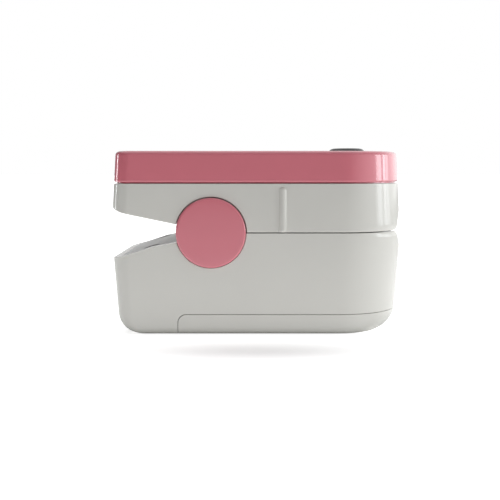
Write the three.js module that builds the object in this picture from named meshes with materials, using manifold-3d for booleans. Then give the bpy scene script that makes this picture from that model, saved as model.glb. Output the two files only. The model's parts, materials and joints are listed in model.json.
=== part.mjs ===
// Fingertip pulse oximeter: a spring clip of two hinged halves that closes on a fingertip.
// Millimetres. The object stands on its flat bottom with the origin at the middle of its base,
// +X towards the finger mouth, +Z up, +Y to the left of someone facing the mouth's direction.
import * as THREE from "three";
import { mergeVertices } from "three/addons/utils/BufferGeometryUtils.js";
import Module from "manifold-3d";

const wasm = await Module();
wasm.setup();

// ---------- Driving dimensions ----------
const HALF_LENGTH = 29; // nominal, of the plan outline
const HALF_WIDTH = 16.5;
const MOUTH_CORNER = 13; // plan radius of the two corners at the finger mouth
const TAIL_CORNER = 3.4;
const TOP_Z = 36.2;
const SEAM_Z = 29.9; // top cover meets upper housing
const PARTING_Z = 20.2; // upper half meets lower half, at the height of the hinge
const DOOR_Z = 4.05; // upper edge of the battery door
const DOOR_X = -16.2; // tail edge of the battery door
const WALL = 1.5;
const GAP = 0.3; // between neighbouring pieces

const HINGE_X = -9.6;
const PIN_RADIUS = 1.2;
const BORE_RADIUS = 1.3;
const CAP_RADIUS = 6.88;
const NOTCH_RADIUS = 7.25;
const EAR = [14.2, 15.5]; // inner and outer |Y| of the lower housing's ears
const KNUCKLE = [11.5, 13.8]; // the same for the upper housing's knuckles
const KNUCKLE_RADIUS = 4.5;
const SPRING = { inner: 4.3, outer: 9.7, radius: 2.2, wire: 0.4, turns: 5.5, leg: 6.2 };
const POCKET_RADIUS = 3.4; // room round the springs

const CHANNEL = { halfWidth: 7.6, below: 2.9, above: 4.0, start: -4.6 }; // finger room
const PAD = 1.0; // thickness of the silicone that lines the channel
const PAD_END = { lower: 27.3, upper: 27.2 };
const SENSOR_X = 12;
const BAY_ROOF = [12.7, 13.7];
const FLOOR = 1.4; // thickness of the battery door's and lower housing's bottom
const BEYOND = 20; // |Y| past everything, for tools that cut right across
const CELL = { radius: 5.25, length: 44.5, nub: 1.9, start: -22, y: 5.6, z: 7.2 };
const BOARD_Z = [28.2, 29.2];
const DISPLAY = { x: [-19, 8], y: 9.7, z: [31.8, 33.4] };
const WINDOW = { x: [-21.6, 10.4], y: 12.4, depth: 1.0, ledge: 1.9, corner: 2.4 };
const BUTTON = { x: 18.7, radius: 3.8, top: 37.05 };
const SCREW_HOLE = { pilot: 0.95, shank: 1.0, head: 1.8 };
// X, Y and the height of the face that each screw's head rests on.
const COVER_SCREWS = [
  [18.5, 11.6, 21.9],
  [18.5, -11.6, 21.9],
  [-24.4, 11.4, 25.2],
  [-24.4, -11.4, 25.2],
];
const HOUSING_SCREWS = [
  [18.5, 11.6, 18.4],
  [18.5, -11.6, 18.4],
  [-21.6, 11.4, 15.7],
  [-21.6, -11.4, 15.7],
];

// ---------- Solids from three.js geometry ----------
function solid(geometry) {
  const bare = geometry.clone();
  bare.deleteAttribute("normal");
  bare.deleteAttribute("uv");
  const merged = mergeVertices(bare, 1e-4);
  const vertProperties = Float32Array.from(merged.attributes.position.array);
  const triVerts = Uint32Array.from(merged.index.array);
  return new wasm.Manifold(new wasm.Mesh({ numProp: 3, vertProperties, triVerts }));
}

const join = (...parts) => parts.reduce((a, b) => a.add(b));
const cut = (body, ...tools) => tools.reduce((a, b) => a.subtract(b), body);
const both = (make) => join(make(1), make(-1)); // one on each side of the middle

function box(x0, x1, y0, y1, z0, z1) {
  const g = new THREE.BoxGeometry(x1 - x0, y1 - y0, z1 - z0);
  g.translate((x0 + x1) / 2, (y0 + y1) / 2, (z0 + z1) / 2);
  return solid(g);
}

// A box between two distances from the middle, on one side of it (1 or -1).
function sideBox(side, x0, x1, near, far, z0, z1) {
  return box(x0, x1, Math.min(side * near, side * far), Math.max(side * near, side * far), z0, z1);
}

function polygon(points) {
  return new THREE.Shape(points.map(([u, v]) => new THREE.Vector2(u, v)));
}

function extrude(shape, depth, curveSegments = 6) {
  return new THREE.ExtrudeGeometry(shape, { depth, bevelEnabled: false, curveSegments });
}

// A shape drawn in X and Z, from y0 to y1.
function extrudeY(shape, y0, y1, segments) {
  const g = extrude(shape, y1 - y0, segments);
  g.rotateX(Math.PI / 2);
  g.translate(0, y1, 0);
  return solid(g);
}

// A shape drawn in X and Y, from z0 to z1.
function extrudeZ(shape, z0, z1, segments) {
  const g = extrude(shape, z1 - z0, segments);
  g.translate(0, 0, z0);
  return solid(g);
}

// A shape drawn in Y and Z, from x0 to x1.
function extrudeX(shape, x0, x1, segments) {
  const g = extrude(shape, x1 - x0, segments);
  const basis = new THREE.Matrix4().makeBasis(
    new THREE.Vector3(0, 1, 0), new THREE.Vector3(0, 0, 1), new THREE.Vector3(1, 0, 0));
  g.applyMatrix4(basis);
  g.translate(x0, 0, 0);
  return solid(g);
}

function cylinderY(radius, x, z, y0, y1, segments = 24) {
  const g = new THREE.CylinderGeometry(radius, radius, Math.abs(y1 - y0), segments);
  g.translate(x, (y0 + y1) / 2, z);
  return solid(g);
}

function cylinderZ(radius, x, y, z0, z1, segments = 10) {
  const g = new THREE.CylinderGeometry(radius, radius, z1 - z0, segments);
  g.rotateX(Math.PI / 2);
  g.translate(x, y, (z0 + z1) / 2);
  return solid(g);
}

function lathe(profile, segments) {
  return new THREE.LatheGeometry(profile.map(([r, h]) => new THREE.Vector2(r, h)), segments);
}

function roundedRectangle(x0, x1, y0, y1, leftRadius, rightRadius) {
  const s = new THREE.Shape();
  s.moveTo(x0 + leftRadius, y0);
  s.lineTo(x1 - rightRadius, y0);
  s.absarc(x1 - rightRadius, y0 + rightRadius, rightRadius, -Math.PI / 2, 0);
  s.lineTo(x1, y1 - rightRadius);
  s.absarc(x1 - rightRadius, y1 - rightRadius, rightRadius, 0, Math.PI / 2);
  s.lineTo(x0 + leftRadius, y1);
  s.absarc(x0 + leftRadius, y1 - leftRadius, leftRadius, Math.PI / 2, Math.PI);
  s.lineTo(x0, y0 + leftRadius);
  s.absarc(x0 + leftRadius, y0 + leftRadius, leftRadius, Math.PI, 1.5 * Math.PI);
  return s;
}

// Round wire along a list of points, each [x, y, z].
function wire(points, radius, steps) {
  const path = new THREE.CatmullRomCurve3(points.map((p) => new THREE.Vector3(...p)));
  const section = new THREE.Shape().absarc(0, 0, radius, 0, 2 * Math.PI);
  const options = { extrudePath: path, steps, curveSegments: 3, bevelEnabled: false };
  return solid(new THREE.ExtrudeGeometry(section, options));
}

// ---------- The body's outer form ----------
// How far a fillet of radius r draws a wall in, at distance h from the edge it rounds.
function fillet(r, h) {
  return h < r ? r - Math.sqrt(r * r - (r - h) ** 2) : 0;
}

// Each half's walls: how far they stand out from the middle at height z.
const LOWER_FORM = {
  heights: [0, 0.5, 1.5, DOOR_Z, 5.5, PARTING_Z - 1.2, PARTING_Z - 0.5, PARTING_Z - 0.15],
  tail: (z) => 28.05 + 0.0717 * z - fillet(4, z),
  mouth: (z) => 28.34 + 0.062 * z - fillet(4.6, z) - fillet(1.2, PARTING_Z - z),
  side: (z) => HALF_WIDTH - 0.2 + 0.01 * z - fillet(1.5, z),
};
const UPPER_FORM = {
  heights: [
    PARTING_Z + 0.15, PARTING_Z + 0.5, PARTING_Z + 1.2, SEAM_Z, TOP_Z - 0.9, TOP_Z - 0.3, TOP_Z,
  ],
  tail: (z) => 29.2 - 0.062 * (z - 25) - fillet(0.8, TOP_Z - z),
  mouth: (z) => 29.35 - 0.061 * (z - 22.7) - fillet(0.8, TOP_Z - z) - fillet(1.2, z - PARTING_Z),
  side: (z) => HALF_WIDTH - 0.02 * (z - PARTING_Z) - fillet(0.9, TOP_Z - z),
};

// X of an outline point once the end wall at length stands at reach. The corners move less.
function drawnIn(x, length, reach) {
  return x - Math.sign(x) * (length - reach) * (x / length) ** 4;
}

// The form between two heights, drawn in from the outer surface by inset.
function form(half, z0, z1, inset = 0) {
  const levels = [z0, ...half.heights.filter((z) => z > z0 + 0.01 && z < z1 - 0.01), z1];
  const length = HALF_LENGTH - inset;
  const width = HALF_WIDTH - inset;
  const corners = [TAIL_CORNER, MOUTH_CORNER].map((r) => Math.max(r - inset, 0.5));
  const plan = roundedRectangle(-length, length, -width, width, ...corners);
  const steps = levels.length - 1;
  const options = { depth: steps, steps, bevelEnabled: false, curveSegments: 3 };
  const g = new THREE.ExtrudeGeometry(plan, options);
  const p = g.attributes.position;
  for (let i = 0; i < p.count; i++) {
    const level = levels[Math.round(p.getZ(i))];
    const shaped = Math.min(Math.max(level, half.heights[0]), half.heights.at(-1));
    const reach = p.getX(i) < 0 ? half.tail(shaped) : half.mouth(shaped);
    p.setXYZ(
      i,
      drawnIn(p.getX(i), length, reach - inset),
      (p.getY(i) / width) * (half.side(shaped) - inset),
      level,
    );
  }
  return solid(g);
}

// The pinch gap between the tails: the upper half's underside and the lower half's top side, as
// lines in X and Z from the tail's end to the hinge.
const PAST_TAIL = -32;
const UPPER_TAIL = [[-29.6, 25.3], [-27.4, 24.2], [-25.7, 23.8], [-16.4, 21.85], [-13.2, 21.2]];
const LOWER_TAIL = [[-29.6, 14.7], [-26.4, 15.4], [-21.2, 17.15], [-16.4, 18.15], [-13.2, 18.8]];

const raised = (line, dz) => line.map(([x, z]) => [x, z + dz]);

function underUpperTail(dz) {
  const line = raised(UPPER_TAIL, dz);
  return polygon([[PAST_TAIL, 19], [PAST_TAIL, line[0][1]], ...line, [line.at(-1)[0], 19]]);
}

function overLowerTail(dz) {
  const line = raised(LOWER_TAIL, dz).reverse();
  return polygon([[line[0][0], 22], ...line, [PAST_TAIL, line.at(-1)[1]], [PAST_TAIL, 22]]);
}

// Half of the finger channel's oval, below (-1) or above (1) the parting plane, past it by 1 mm.
function channelShape(halfWidth, height, direction) {
  const s = new THREE.Shape();
  s.moveTo(-halfWidth, PARTING_Z - direction);
  if (direction > 0) {
    s.lineTo(halfWidth, PARTING_Z - 1);
    s.lineTo(halfWidth, PARTING_Z);
    s.absellipse(0, PARTING_Z, halfWidth, height, 0, Math.PI, false, 0);
  } else {
    s.lineTo(-halfWidth, PARTING_Z);
    s.absellipse(0, PARTING_Z, halfWidth, height, Math.PI, 2 * Math.PI, false, 0);
    s.lineTo(halfWidth, PARTING_Z + 1);
  }
  return s;
}

function channel(grow, direction, x0, x1) {
  const height = (direction > 0 ? CHANNEL.above : CHANNEL.below) + grow;
  return extrudeX(channelShape(CHANNEL.halfWidth + grow, height, direction), x0, x1, 6);
}

const PAD_SEAT = PAD + GAP; // the channel cut in the plastic
const SEAT_WALL = PAD_SEAT + 0.9; // the outside of the plastic round it

function sensorHole(grow, z0, z1) {
  return box(SENSOR_X - 3 - grow, SENSOR_X + 3 + grow, -2.4 - grow, 2.4 + grow, z0, z1);
}

// ---------- Lower half ----------
// What the battery door takes away from the lower housing, round at its upper tail corner.
function doorRegion(shrink) {
  const x = DOOR_X + shrink;
  const z = DOOR_Z - shrink;
  const corner = 1.7;
  const s = new THREE.Shape();
  s.moveTo(x, -1);
  s.lineTo(x, z - corner);
  s.absarc(x + corner, z - corner, corner, Math.PI, Math.PI / 2, true);
  s.lineTo(32, z);
  s.lineTo(32, -1);
  return extrudeY(s, -BEYOND, BEYOND, 5);
}

function lowerHousing() {
  const top = PARTING_Z - GAP / 2;
  const shell = cut(
    form(LOWER_FORM, 0, top),
    form(LOWER_FORM, BAY_ROOF[1], 21, WALL),
    form(LOWER_FORM, FLOOR, BAY_ROOF[0], WALL),
    extrudeY(overLowerTail(0), -BEYOND, BEYOND),
    doorRegion(-GAP / 2),
    channel(PAD_SEAT, -1, 20, 32),
  );
  const bayWalls = both((side) => join(
    sideBox(side, -25.8, 25, 11.3, 12.3, 1.7, 12.9),
    sideBox(side, -25.8, DOOR_X - 0.5, 11.3, 12.3, 1.2, 2),
    sideBox(side, -14, 24.5, 12.2, 13.3, 1.7, 2.3), // the ledge that the door's rail hooks over
  ));
  const tailWall = box(-25.8, -24.9, -12.3, 12.3, 1.2, 12.9);
  const mouthWall = box(25.3, 28, -10, 10, DOOR_Z + GAP / 2, 12.9);
  const room = join(
    form(LOWER_FORM, DOOR_Z + GAP / 2, 20, 0.8),
    form(LOWER_FORM, 0, DOOR_Z + 1, WALL + GAP),
  );
  const inside = room.intersect(join(bayWalls, tailWall, mouthWall));
  const bosses = HOUSING_SCREWS.map(([x, y, head]) => cylinderZ(2.2, x, y, 13.5, head - 1.3));
  const ears = both((side) => cylinderY(6.9, HINGE_X, PARTING_Z, side * EAR[0], side * EAR[1], 32));
  return cut(
    join(shell, inside, ...bosses, ears),
    both((side) => cylinderY(CAP_RADIUS + 0.2, HINGE_X, PARTING_Z, side * EAR[1], side * 18, 32)),
    cylinderY(BORE_RADIUS, HINGE_X, PARTING_Z, -BEYOND, BEYOND, 16),
    ...HOUSING_SCREWS.map(([x, y, head]) => cylinderZ(SCREW_HOLE.pilot, x, y, 12.9, head)),
  );
}

function batteryDoor() {
  const outside = form(LOWER_FORM, 0, 5).intersect(doorRegion(GAP / 2));
  const tray = cut(outside, form(LOWER_FORM, FLOOR, 6, WALL));
  const rail = (side) => join(
    sideBox(side, -12, 19, 13.6, 14.4, 1.2, 3.3),
    sideBox(side, -12, 19, 12.6, 13.7, 2.6, 3.3),
  );
  const grips = [17.5, 19.5, 21.5].map((x) => box(x, x + 0.8, -6, 6, -1, 0.4));
  return cut(join(tray, both(rail)), ...grips);
}

function lowerInnerCover() {
  const fit = WALL + GAP;
  const top = PARTING_Z - GAP / 2;
  const hingeBlock = [-17, -4.9];
  const roof = top - 1.2;
  const underside = polygon([
    [-30, 13], [-30, 13.4], [-26.4, 14.1], [-21.2, 15.85], [hingeBlock[0], 16.7],
    [hingeBlock[0], 14.2], [hingeBlock[1], 14.2], [hingeBlock[1], roof], [30, roof], [30, 13],
  ]);
  const hollow = extrudeY(underside, -BEYOND, BEYOND);
  const seat = channel(SEAT_WALL, -1, CHANNEL.start - 1, 32);
  const bosses = HOUSING_SCREWS.map(([x, y, head]) => cylinderZ(2.5, x, y, head - 1, top));
  const aboveTail = extrudeY(overLowerTail(0), -BEYOND, BEYOND);
  const outer = cut(form(LOWER_FORM, BAY_ROOF[1] + GAP, top, fit), aboveTail);
  const skin = cut(outer, hollow.intersect(form(LOWER_FORM, 13, 21, fit + 1)));
  const body = cut(
    join(skin, outer.intersect(join(seat, ...bosses))),
    channel(PAD_SEAT, -1, CHANNEL.start, 32),
    sensorHole(GAP, 13, 18),
  );
  const legSlot = (side) => sideBox(side, HINGE_X - SPRING.leg - 0.6, HINGE_X,
    SPRING.inner - 0.9, SPRING.inner + 0.9, PARTING_Z - SPRING.radius - 0.8, 22);
  return cut(
    body,
    cylinderY(POCKET_RADIUS, HINGE_X, PARTING_Z, -11.3, 11.3, 24),
    both((side) => cylinderY(KNUCKLE_RADIUS + 0.4, HINGE_X, PARTING_Z, side * 11.2, side * 14.1)),
    both((side) => cylinderY(NOTCH_RADIUS, HINGE_X, PARTING_Z, side * 13.9, side * 18)),
    both(legSlot),
    box(-8, -6.9, -3, 3, 13, 22), // slot for the flat cable
    box(-8, -4.5, -3, 3, 13, 15),
    ...HOUSING_SCREWS.flatMap(([x, y, head]) => [
      cylinderZ(2.5, x, y, 12, head - 1),
      cylinderZ(SCREW_HOLE.shank, x, y, 12, head + 1),
      cylinderZ(SCREW_HOLE.head, x, y, head, 22),
    ]),
  );
}

// Everything between two heights.
function slab(z0, z1) {
  return box(-BEYOND, 40, -BEYOND, BEYOND, z0, z1);
}

// A half-oval liner with a wall across its tail end, which stops the fingertip.
function lowerPad() {
  const start = CHANNEL.start + GAP;
  const wallEnd = CHANNEL.start + 1.5;
  const liner = cut(channel(PAD, -1, start, PAD_END.lower), channel(0, -1, -BEYOND, 32));
  const trough = cut(join(liner, channel(PAD, -1, start, wallEnd)), slab(PARTING_Z - GAP / 2, 40));
  const stop = cut(channel(-0.3, 1, start, wallEnd), slab(0, 18), slab(23.2, 40));
  return cut(join(trough, stop), sensorHole(GAP, 13, 18));
}

// ---------- Hinge, in the hinge's own group: its axis is the group's Y axis ----------
function torsionSpring(side) {
  const { inner, outer, radius, turns, leg } = SPRING;
  const perTurn = 8;
  const count = turns * perTurn;
  const points = [[-leg, side * inner, -radius], [-leg / 2, side * inner, -radius]];
  for (let i = 0; i <= count; i++) {
    const angle = -Math.PI / 2 + (i / perTurn) * 2 * Math.PI;
    points.push([
      radius * Math.cos(angle),
      side * (inner + ((outer - inner) * i) / count),
      radius * Math.sin(angle),
    ]);
  }
  points.push([-leg / 2, side * outer, radius], [-leg, side * outer, radius]);
  return wire(points, SPRING.wire, 48);
}

function hingePin() {
  const half = EAR[1] + 0.4;
  const bevel = 0.3;
  return solid(lathe([
    [0, -half], [PIN_RADIUS - bevel, -half], [PIN_RADIUS, -half + bevel],
    [PIN_RADIUS, half - bevel], [PIN_RADIUS - bevel, half], [0, half],
  ], 16));
}

function hingeCap() {
  const inner = EAR[1] + GAP;
  const outer = 17;
  return solid(lathe([
    [0, inner + 0.5], [1.6, inner + 0.5], [1.6, inner], [CAP_RADIUS, inner], [CAP_RADIUS, outer - 0.4],
    [CAP_RADIUS - 0.5, outer], [0, outer],
  ], 32));
}

// ---------- Electrical pieces of the lower half ----------
function flexCable() {
  const route = [
    [4.6, 14.3], [-6.2, 14.3], [-7.1, 14.7], [-7.4, 15.6], [-7.4, 26.2], [-7.2, 27.1], [-6.4, 27.4],
  ].map(([x, z]) => new THREE.Vector3(x, z, 0));
  const curve = new THREE.CatmullRomCurve3(route, false, "centripetal");
  const steps = 30;
  const halfThickness = 0.12;
  const halfWidth = 2.5;
  const edge = (offset) => curve.getPoints(steps).map((p, i) => {
    const t = curve.getTangent(i / steps);
    return [p.x - t.y * offset, p.y + t.x * offset];
  });
  const outline = polygon([...edge(halfThickness), ...edge(-halfThickness).reverse()]);
  return extrudeY(outline, -halfWidth, halfWidth);
}

function cell() {
  const { radius, length, nub } = CELL;
  return solid(lathe([
    [0, 0], [radius - 0.6, 0], [radius, 0.4], [radius, length - 1.5], [radius - 0.6, length - 1.1],
    [nub, length - 1.1], [nub, length], [0, length],
  ], 20));
}

function contactPlate(halfWidth) {
  return box(0, 0.4, -halfWidth, halfWidth, -3.4, 3.4);
}

// A conical spring that stands out of a plate towards -X.
function conicalSpring(y, reach) {
  const points = [];
  const turns = 3;
  const count = turns * 10;
  const [wideRadius, narrowing, sunk] = [3, 1.4, 0.15];
  for (let i = 0; i <= count; i++) {
    const t = i / count;
    const angle = t * turns * 2 * Math.PI;
    const r = wideRadius - narrowing * t;
    points.push([sunk - reach * t, y + r * Math.cos(angle), r * Math.sin(angle)]);
  }
  return wire(points, 0.3, 26);
}

function dimple(y, reach) {
  const g = new THREE.CylinderGeometry(1.2, 2.2, reach, 16);
  g.rotateZ(Math.PI / 2);
  g.translate(0.1 - reach / 2, y, 0);
  return solid(g);
}

// ---------- Upper half ----------
function upperHousing() {
  const bottom = PARTING_Z + GAP / 2;
  const block = [-17.2, -4.2];
  const floor = bottom + 1.3;
  const room = polygon([
    [-30, 26.6], [-27.4, 25.6], [-25.7, 25.15], [block[0], 23.35], [block[0], 24.9],
    [block[1], 24.9], [block[1], floor], [30, floor], [30, 31], [-30, 31],
  ]);
  const cavity = extrudeY(room, -BEYOND, BEYOND);
  const seat = channel(SEAT_WALL, 1, CHANNEL.start - 1, 32);
  const belowTail = extrudeY(underUpperTail(0), -BEYOND, BEYOND);
  const outer = cut(form(UPPER_FORM, bottom, SEAM_Z - GAP / 2), belowTail);
  const inner = cavity.intersect(form(UPPER_FORM, bottom, 31, WALL));
  const notchWall = both((side) =>
    cylinderY(NOTCH_RADIUS + 0.5, HINGE_X, PARTING_Z, side * 12.9, side * KNUCKLE[1], 24));
  const bosses = COVER_SCREWS.map(([x, y, head]) => cylinderZ(2.6, x, y, head - 1, BOARD_Z[0] - 0.2));
  const rib = { x: 4.5, half: 0.75, inner: 15.5, outer: HALF_WIDTH + 0.4, top: 28.5 };
  const ribs = both((side) => join(
    sideBox(side, rib.x - rib.half, rib.x + rib.half, rib.inner, rib.outer, bottom, rib.top),
    cylinderY(rib.half, rib.x, rib.top, side * rib.inner, side * rib.outer, 16),
  ));
  const knuckles = both((side) => join(
    cylinderY(KNUCKLE_RADIUS, HINGE_X, PARTING_Z, side * KNUCKLE[0], side * KNUCKLE[1]),
    sideBox(side, HINGE_X - KNUCKLE_RADIUS, HINGE_X + KNUCKLE_RADIUS, ...KNUCKLE, PARTING_Z, 25),
  ));
  const legSlot = (side) => sideBox(side, HINGE_X - SPRING.leg - 0.6, HINGE_X,
    SPRING.outer - 0.8, SPRING.outer + 0.8, 18, PARTING_Z + SPRING.radius + 0.8);
  const body = join(cut(outer, inner), outer.intersect(join(seat, notchWall, ...bosses)), ribs);
  const opened = cut(
    body,
    channel(PAD_SEAT, 1, CHANNEL.start, 32),
    cylinderY(POCKET_RADIUS, HINGE_X, PARTING_Z, -11.3, 11.3, 24),
    box(HINGE_X - POCKET_RADIUS - 0.3, HINGE_X + POCKET_RADIUS, -11.3, 11.3, 19, PARTING_Z + 1.6),
    both((side) => cylinderY(NOTCH_RADIUS, HINGE_X, PARTING_Z, side * KNUCKLE[1], side * 18, 32)),
    both(legSlot),
    sensorHole(GAP, 23, 27),
    box(-8, -6.9, -3, 3, 22, 26),
  );
  return cut(
    join(opened, knuckles),
    cylinderY(BORE_RADIUS, HINGE_X, PARTING_Z, -BEYOND, BEYOND, 16),
    ...COVER_SCREWS.flatMap(([x, y, head]) => [
      cylinderZ(SCREW_HOLE.shank, x, y, head, 30),
      cylinderZ(SCREW_HOLE.head, x, y, 19, head + 1.1),
    ]),
  );
}

function upperPad() {
  const block = channel(PAD, 1, CHANNEL.start + 1.8, PAD_END.upper);
  const room = channel(0, 1, -BEYOND, 32);
  return cut(block, room, slab(0, PARTING_Z + GAP / 2), sensorHole(GAP, 23, 27));
}

function windowShape(grow) {
  const { x, y, corner } = WINDOW;
  return roundedRectangle(x[0] - grow, x[1] + grow, -y - grow, y + grow, corner + grow, corner + grow);
}

function topCover() {
  const bottom = SEAM_Z + GAP / 2;
  const wall = 1.4;
  const roof = TOP_Z - wall;
  const shell = cut(form(UPPER_FORM, bottom, TOP_Z), form(UPPER_FORM, SEAM_Z - 1, roof, wall));
  const frame = extrudeZ(windowShape(1.2), TOP_Z - WINDOW.depth - 1.2, TOP_Z - WINDOW.depth, 3);
  const bosses = COVER_SCREWS.map(([x, y]) => cylinderZ(2.2, x, y, BOARD_Z[0] + 0.1, roof + 0.5));
  return cut(
    join(shell, frame, ...bosses),
    extrudeZ(windowShape(0.2), TOP_Z - WINDOW.depth, TOP_Z + 1, 3),
    extrudeZ(windowShape(-WINDOW.ledge), 30, TOP_Z + 1, 3),
    cylinderZ(BUTTON.radius + 0.2, BUTTON.x, 0, 30, TOP_Z + 1, 24),
    ...COVER_SCREWS.map(([x, y]) => cylinderZ(SCREW_HOLE.pilot, x, y, 20, 33)),
  );
}

function mainBoard() {
  const plate = form(UPPER_FORM, BOARD_Z[0], BOARD_Z[1], WALL + 0.6);
  return cut(plate, ...COVER_SCREWS.map(([x, y]) => cylinderZ(2.6, x, y, 20, 33)));
}

// A frame that holds the display off the main board, open at the tail for the ribbon.
function displayCarrier() {
  const rim = 1.4;
  const [x0, x1] = [DISPLAY.x[0] - rim, DISPLAY.x[1] + rim];
  const y = DISPLAY.y + rim;
  const seatY = DISPLAY.y + GAP;
  return cut(
    box(x0, x1, -y, y, BOARD_Z[1] + 0.2, 32.8),
    box(DISPLAY.x[0] - GAP, DISPLAY.x[1] + GAP, -seatY, seatY, 31.5, 40),
    box(x0 + 3, x1 - 3, -y + 3, y - 3, 20, 40),
    box(x0 - 1, x0 + 4, -5.6, 5.6, 31, 40),
  );
}

function displayRibbon() {
  const shape = polygon([
    [-19.2, 32.3], [-21.9, 32.3], [-22.6, 31.6], [-22.6, 30.2], [-21.9, 29.5], [-20.9, 29.5],
    [-20.9, 29.75], [-21.8, 29.75], [-22.35, 30.3], [-22.35, 31.5], [-21.8, 32.05], [-19.2, 32.05],
  ].reverse());
  return extrudeY(shape, -5, 5);
}

function switchBody() {
  const top = 31.9;
  return cut(
    box(BUTTON.x - 3.1, BUTTON.x + 3.1, -3.1, 3.1, BOARD_Z[1] + 0.2, top),
    cylinderZ(1.85, BUTTON.x, 0, top - 1.3, top + 1, 20),
  );
}

function powerButton() {
  const { radius, top } = BUTTON;
  const g = lathe([
    [0, 33.1], [1.5, 33.1], [1.5, 33.9], [4.6, 33.9], [4.6, 34.5], [radius, 34.5], [radius, top - 0.6],
    [radius - 0.7, top], [0, top],
  ], 24);
  g.rotateX(Math.PI / 2);
  return solid(g);
}

function screw(length) {
  const g = lathe([
    [0, -length], [0.8, -length + 1.2], [0.8, 0], [1.5, 0], [1.5, 0.6], [1.1, 1.0], [0, 1.0],
  ], 10);
  g.rotateX(Math.PI / 2);
  return cut(solid(g), box(-0.8, 0.8, -0.2, 0.2, 0.5, 2), box(-0.2, 0.2, -0.8, 0.8, 0.5, 2));
}

// ---------- Materials ----------
function material(color, roughness, metalness = 0) {
  return new THREE.MeshStandardMaterial({ color, roughness, metalness });
}
const white = () => material(0xdedddb, 0.38);
const pink = () => material(0xd57f92, 0.3);
const silicone = () => material(0x9b9ea3, 0.7);
const boardGreen = () => material(0x1f6b3f, 0.5);
const blackPlastic = () => material(0x1c1c1e, 0.45);
const steel = () => material(0xb9bcc0, 0.3, 1);
const clear = () => material(0xcfd6da, 0.08);

// ---------- Assembly ----------
const oximeter = new THREE.Group();
const hinge = new THREE.Group();
hinge.position.set(HINGE_X, 0, PARTING_Z);
oximeter.add(hinge);

function add(parent, name, shape, look, position = [0, 0, 0], rotation = [0, 0, 0]) {
  const { vertProperties, triVerts } = shape.getMesh();
  const g = new THREE.BufferGeometry();
  g.setAttribute("position", new THREE.BufferAttribute(Float32Array.from(vertProperties), 3));
  g.setIndex(new THREE.BufferAttribute(Uint32Array.from(triVerts), 1));
  g.computeVertexNormals();
  const mesh = new THREE.Mesh(g, look);
  mesh.name = name;
  mesh.position.set(...position);
  mesh.rotation.set(...rotation);
  parent.add(mesh);
}

add(oximeter, "lower_housing", lowerHousing(), white());
add(oximeter, "lower_inner_cover", lowerInnerCover(), white());
add(oximeter, "lower_pad", lowerPad(), silicone());
add(oximeter, "lower_sensor_window", sensorHole(0, 15.9, 16.9), clear());
add(oximeter, "detector_board", box(5, 19, -5.4, 5.4, 13.95, 14.65), boardGreen());
const photodiode = box(SENSOR_X - 2.2, SENSOR_X + 2.2, -1.9, 1.9, 14.75, 15.6);
add(oximeter, "photodiode", photodiode, blackPlastic());
add(oximeter, "flex_cable", flexCable(), material(0xc98a2b, 0.5));
add(oximeter, "battery_door", batteryDoor(), white());

// The first cell's nub points to the mouth, the second one's to the tail.
const cellSolid = cell();
const sleeve = () => material(0x3c4046, 0.35, 0.6);
const QUARTER = Math.PI / 2;
const firstCell = [CELL.start, CELL.y, CELL.z];
const secondCell = [CELL.start + CELL.length, -CELL.y, CELL.z];
add(oximeter, "battery_1", cellSolid, sleeve(), firstCell, [0, 0, -QUARTER]);
add(oximeter, "battery_2", cellSolid, sleeve(), secondCell, [0, 0, QUARTER]);

const MOUTH_CONTACT_X = 24.5;
const BRIDGE_X = -24.1;
const [SPRING_REACH, DIMPLE_REACH] = [1.6, 1.8];
const positive = join(contactPlate(3.2), dimple(0, DIMPLE_REACH));
const negative = join(contactPlate(3.2), conicalSpring(0, SPRING_REACH));
const bridge = join(
  contactPlate(9), conicalSpring(-CELL.y, SPRING_REACH), dimple(CELL.y, DIMPLE_REACH));
add(oximeter, "positive_contact", positive, steel(), [MOUTH_CONTACT_X, CELL.y, CELL.z]);
add(oximeter, "negative_contact", negative, steel(), [MOUTH_CONTACT_X, -CELL.y, CELL.z]);
add(oximeter, "bridge_contact", bridge, steel(), [BRIDGE_X, 0, CELL.z], [0, 0, Math.PI]);
HOUSING_SCREWS.forEach(([x, y, z], i) => {
  add(oximeter, `housing_screw_${i + 1}`, screw(z - 13.2), steel(), [x, y, z + 0.1]);
});

add(hinge, "hinge_pin", hingePin(), steel());
for (const [name, side] of [["left", 1], ["right", -1]]) {
  add(hinge, `torsion_spring_${name}`, torsionSpring(side), steel());
  add(hinge, `hinge_cap_${name}`, hingeCap(), pink(), [0, 0, 0], [0, 0, side > 0 ? 0 : Math.PI]);
}

add(oximeter, "upper_housing", upperHousing(), white());
add(oximeter, "upper_pad", upperPad(), silicone());
add(oximeter, "upper_sensor_window", sensorHole(0, 24.8, 25.7), clear());
add(oximeter, "emitter_board", box(5, 19, -5, 5, 26.8, 27.5), boardGreen());
const led = box(SENSOR_X - 2, SENSOR_X + 2, -1.8, 1.8, 25.85, 26.7);
add(oximeter, "emitter_led", led, material(0xe8e6da, 0.4));
add(oximeter, "main_board", mainBoard(), boardGreen());
add(oximeter, "flex_socket", box(-6, -2, -3.4, 3.4, 26.9, 28.05), material(0xe6dfcb, 0.5));
add(oximeter, "processor_chip", box(10.3, 14.3, 5, 11, 29.35, 30.4), blackPlastic());
add(oximeter, "display_carrier", displayCarrier(), blackPlastic());
const display = box(...DISPLAY.x, -DISPLAY.y, DISPLAY.y, ...DISPLAY.z);
add(oximeter, "display_module", display, material(0x101216, 0.1));
add(oximeter, "display_ribbon", displayRibbon(), material(0xc98a2b, 0.5));
const pane = extrudeZ(windowShape(-0.1), TOP_Z - WINDOW.depth + 0.1, TOP_Z - 0.05, 3);
add(oximeter, "display_window", pane, material(0x17181c, 0.05));
add(oximeter, "switch_body", switchBody(), blackPlastic());
add(oximeter, "switch_plunger", cylinderZ(1.6, BUTTON.x, 0, 31.2, 33, 20), material(0x2a2a2d, 0.5));
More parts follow.
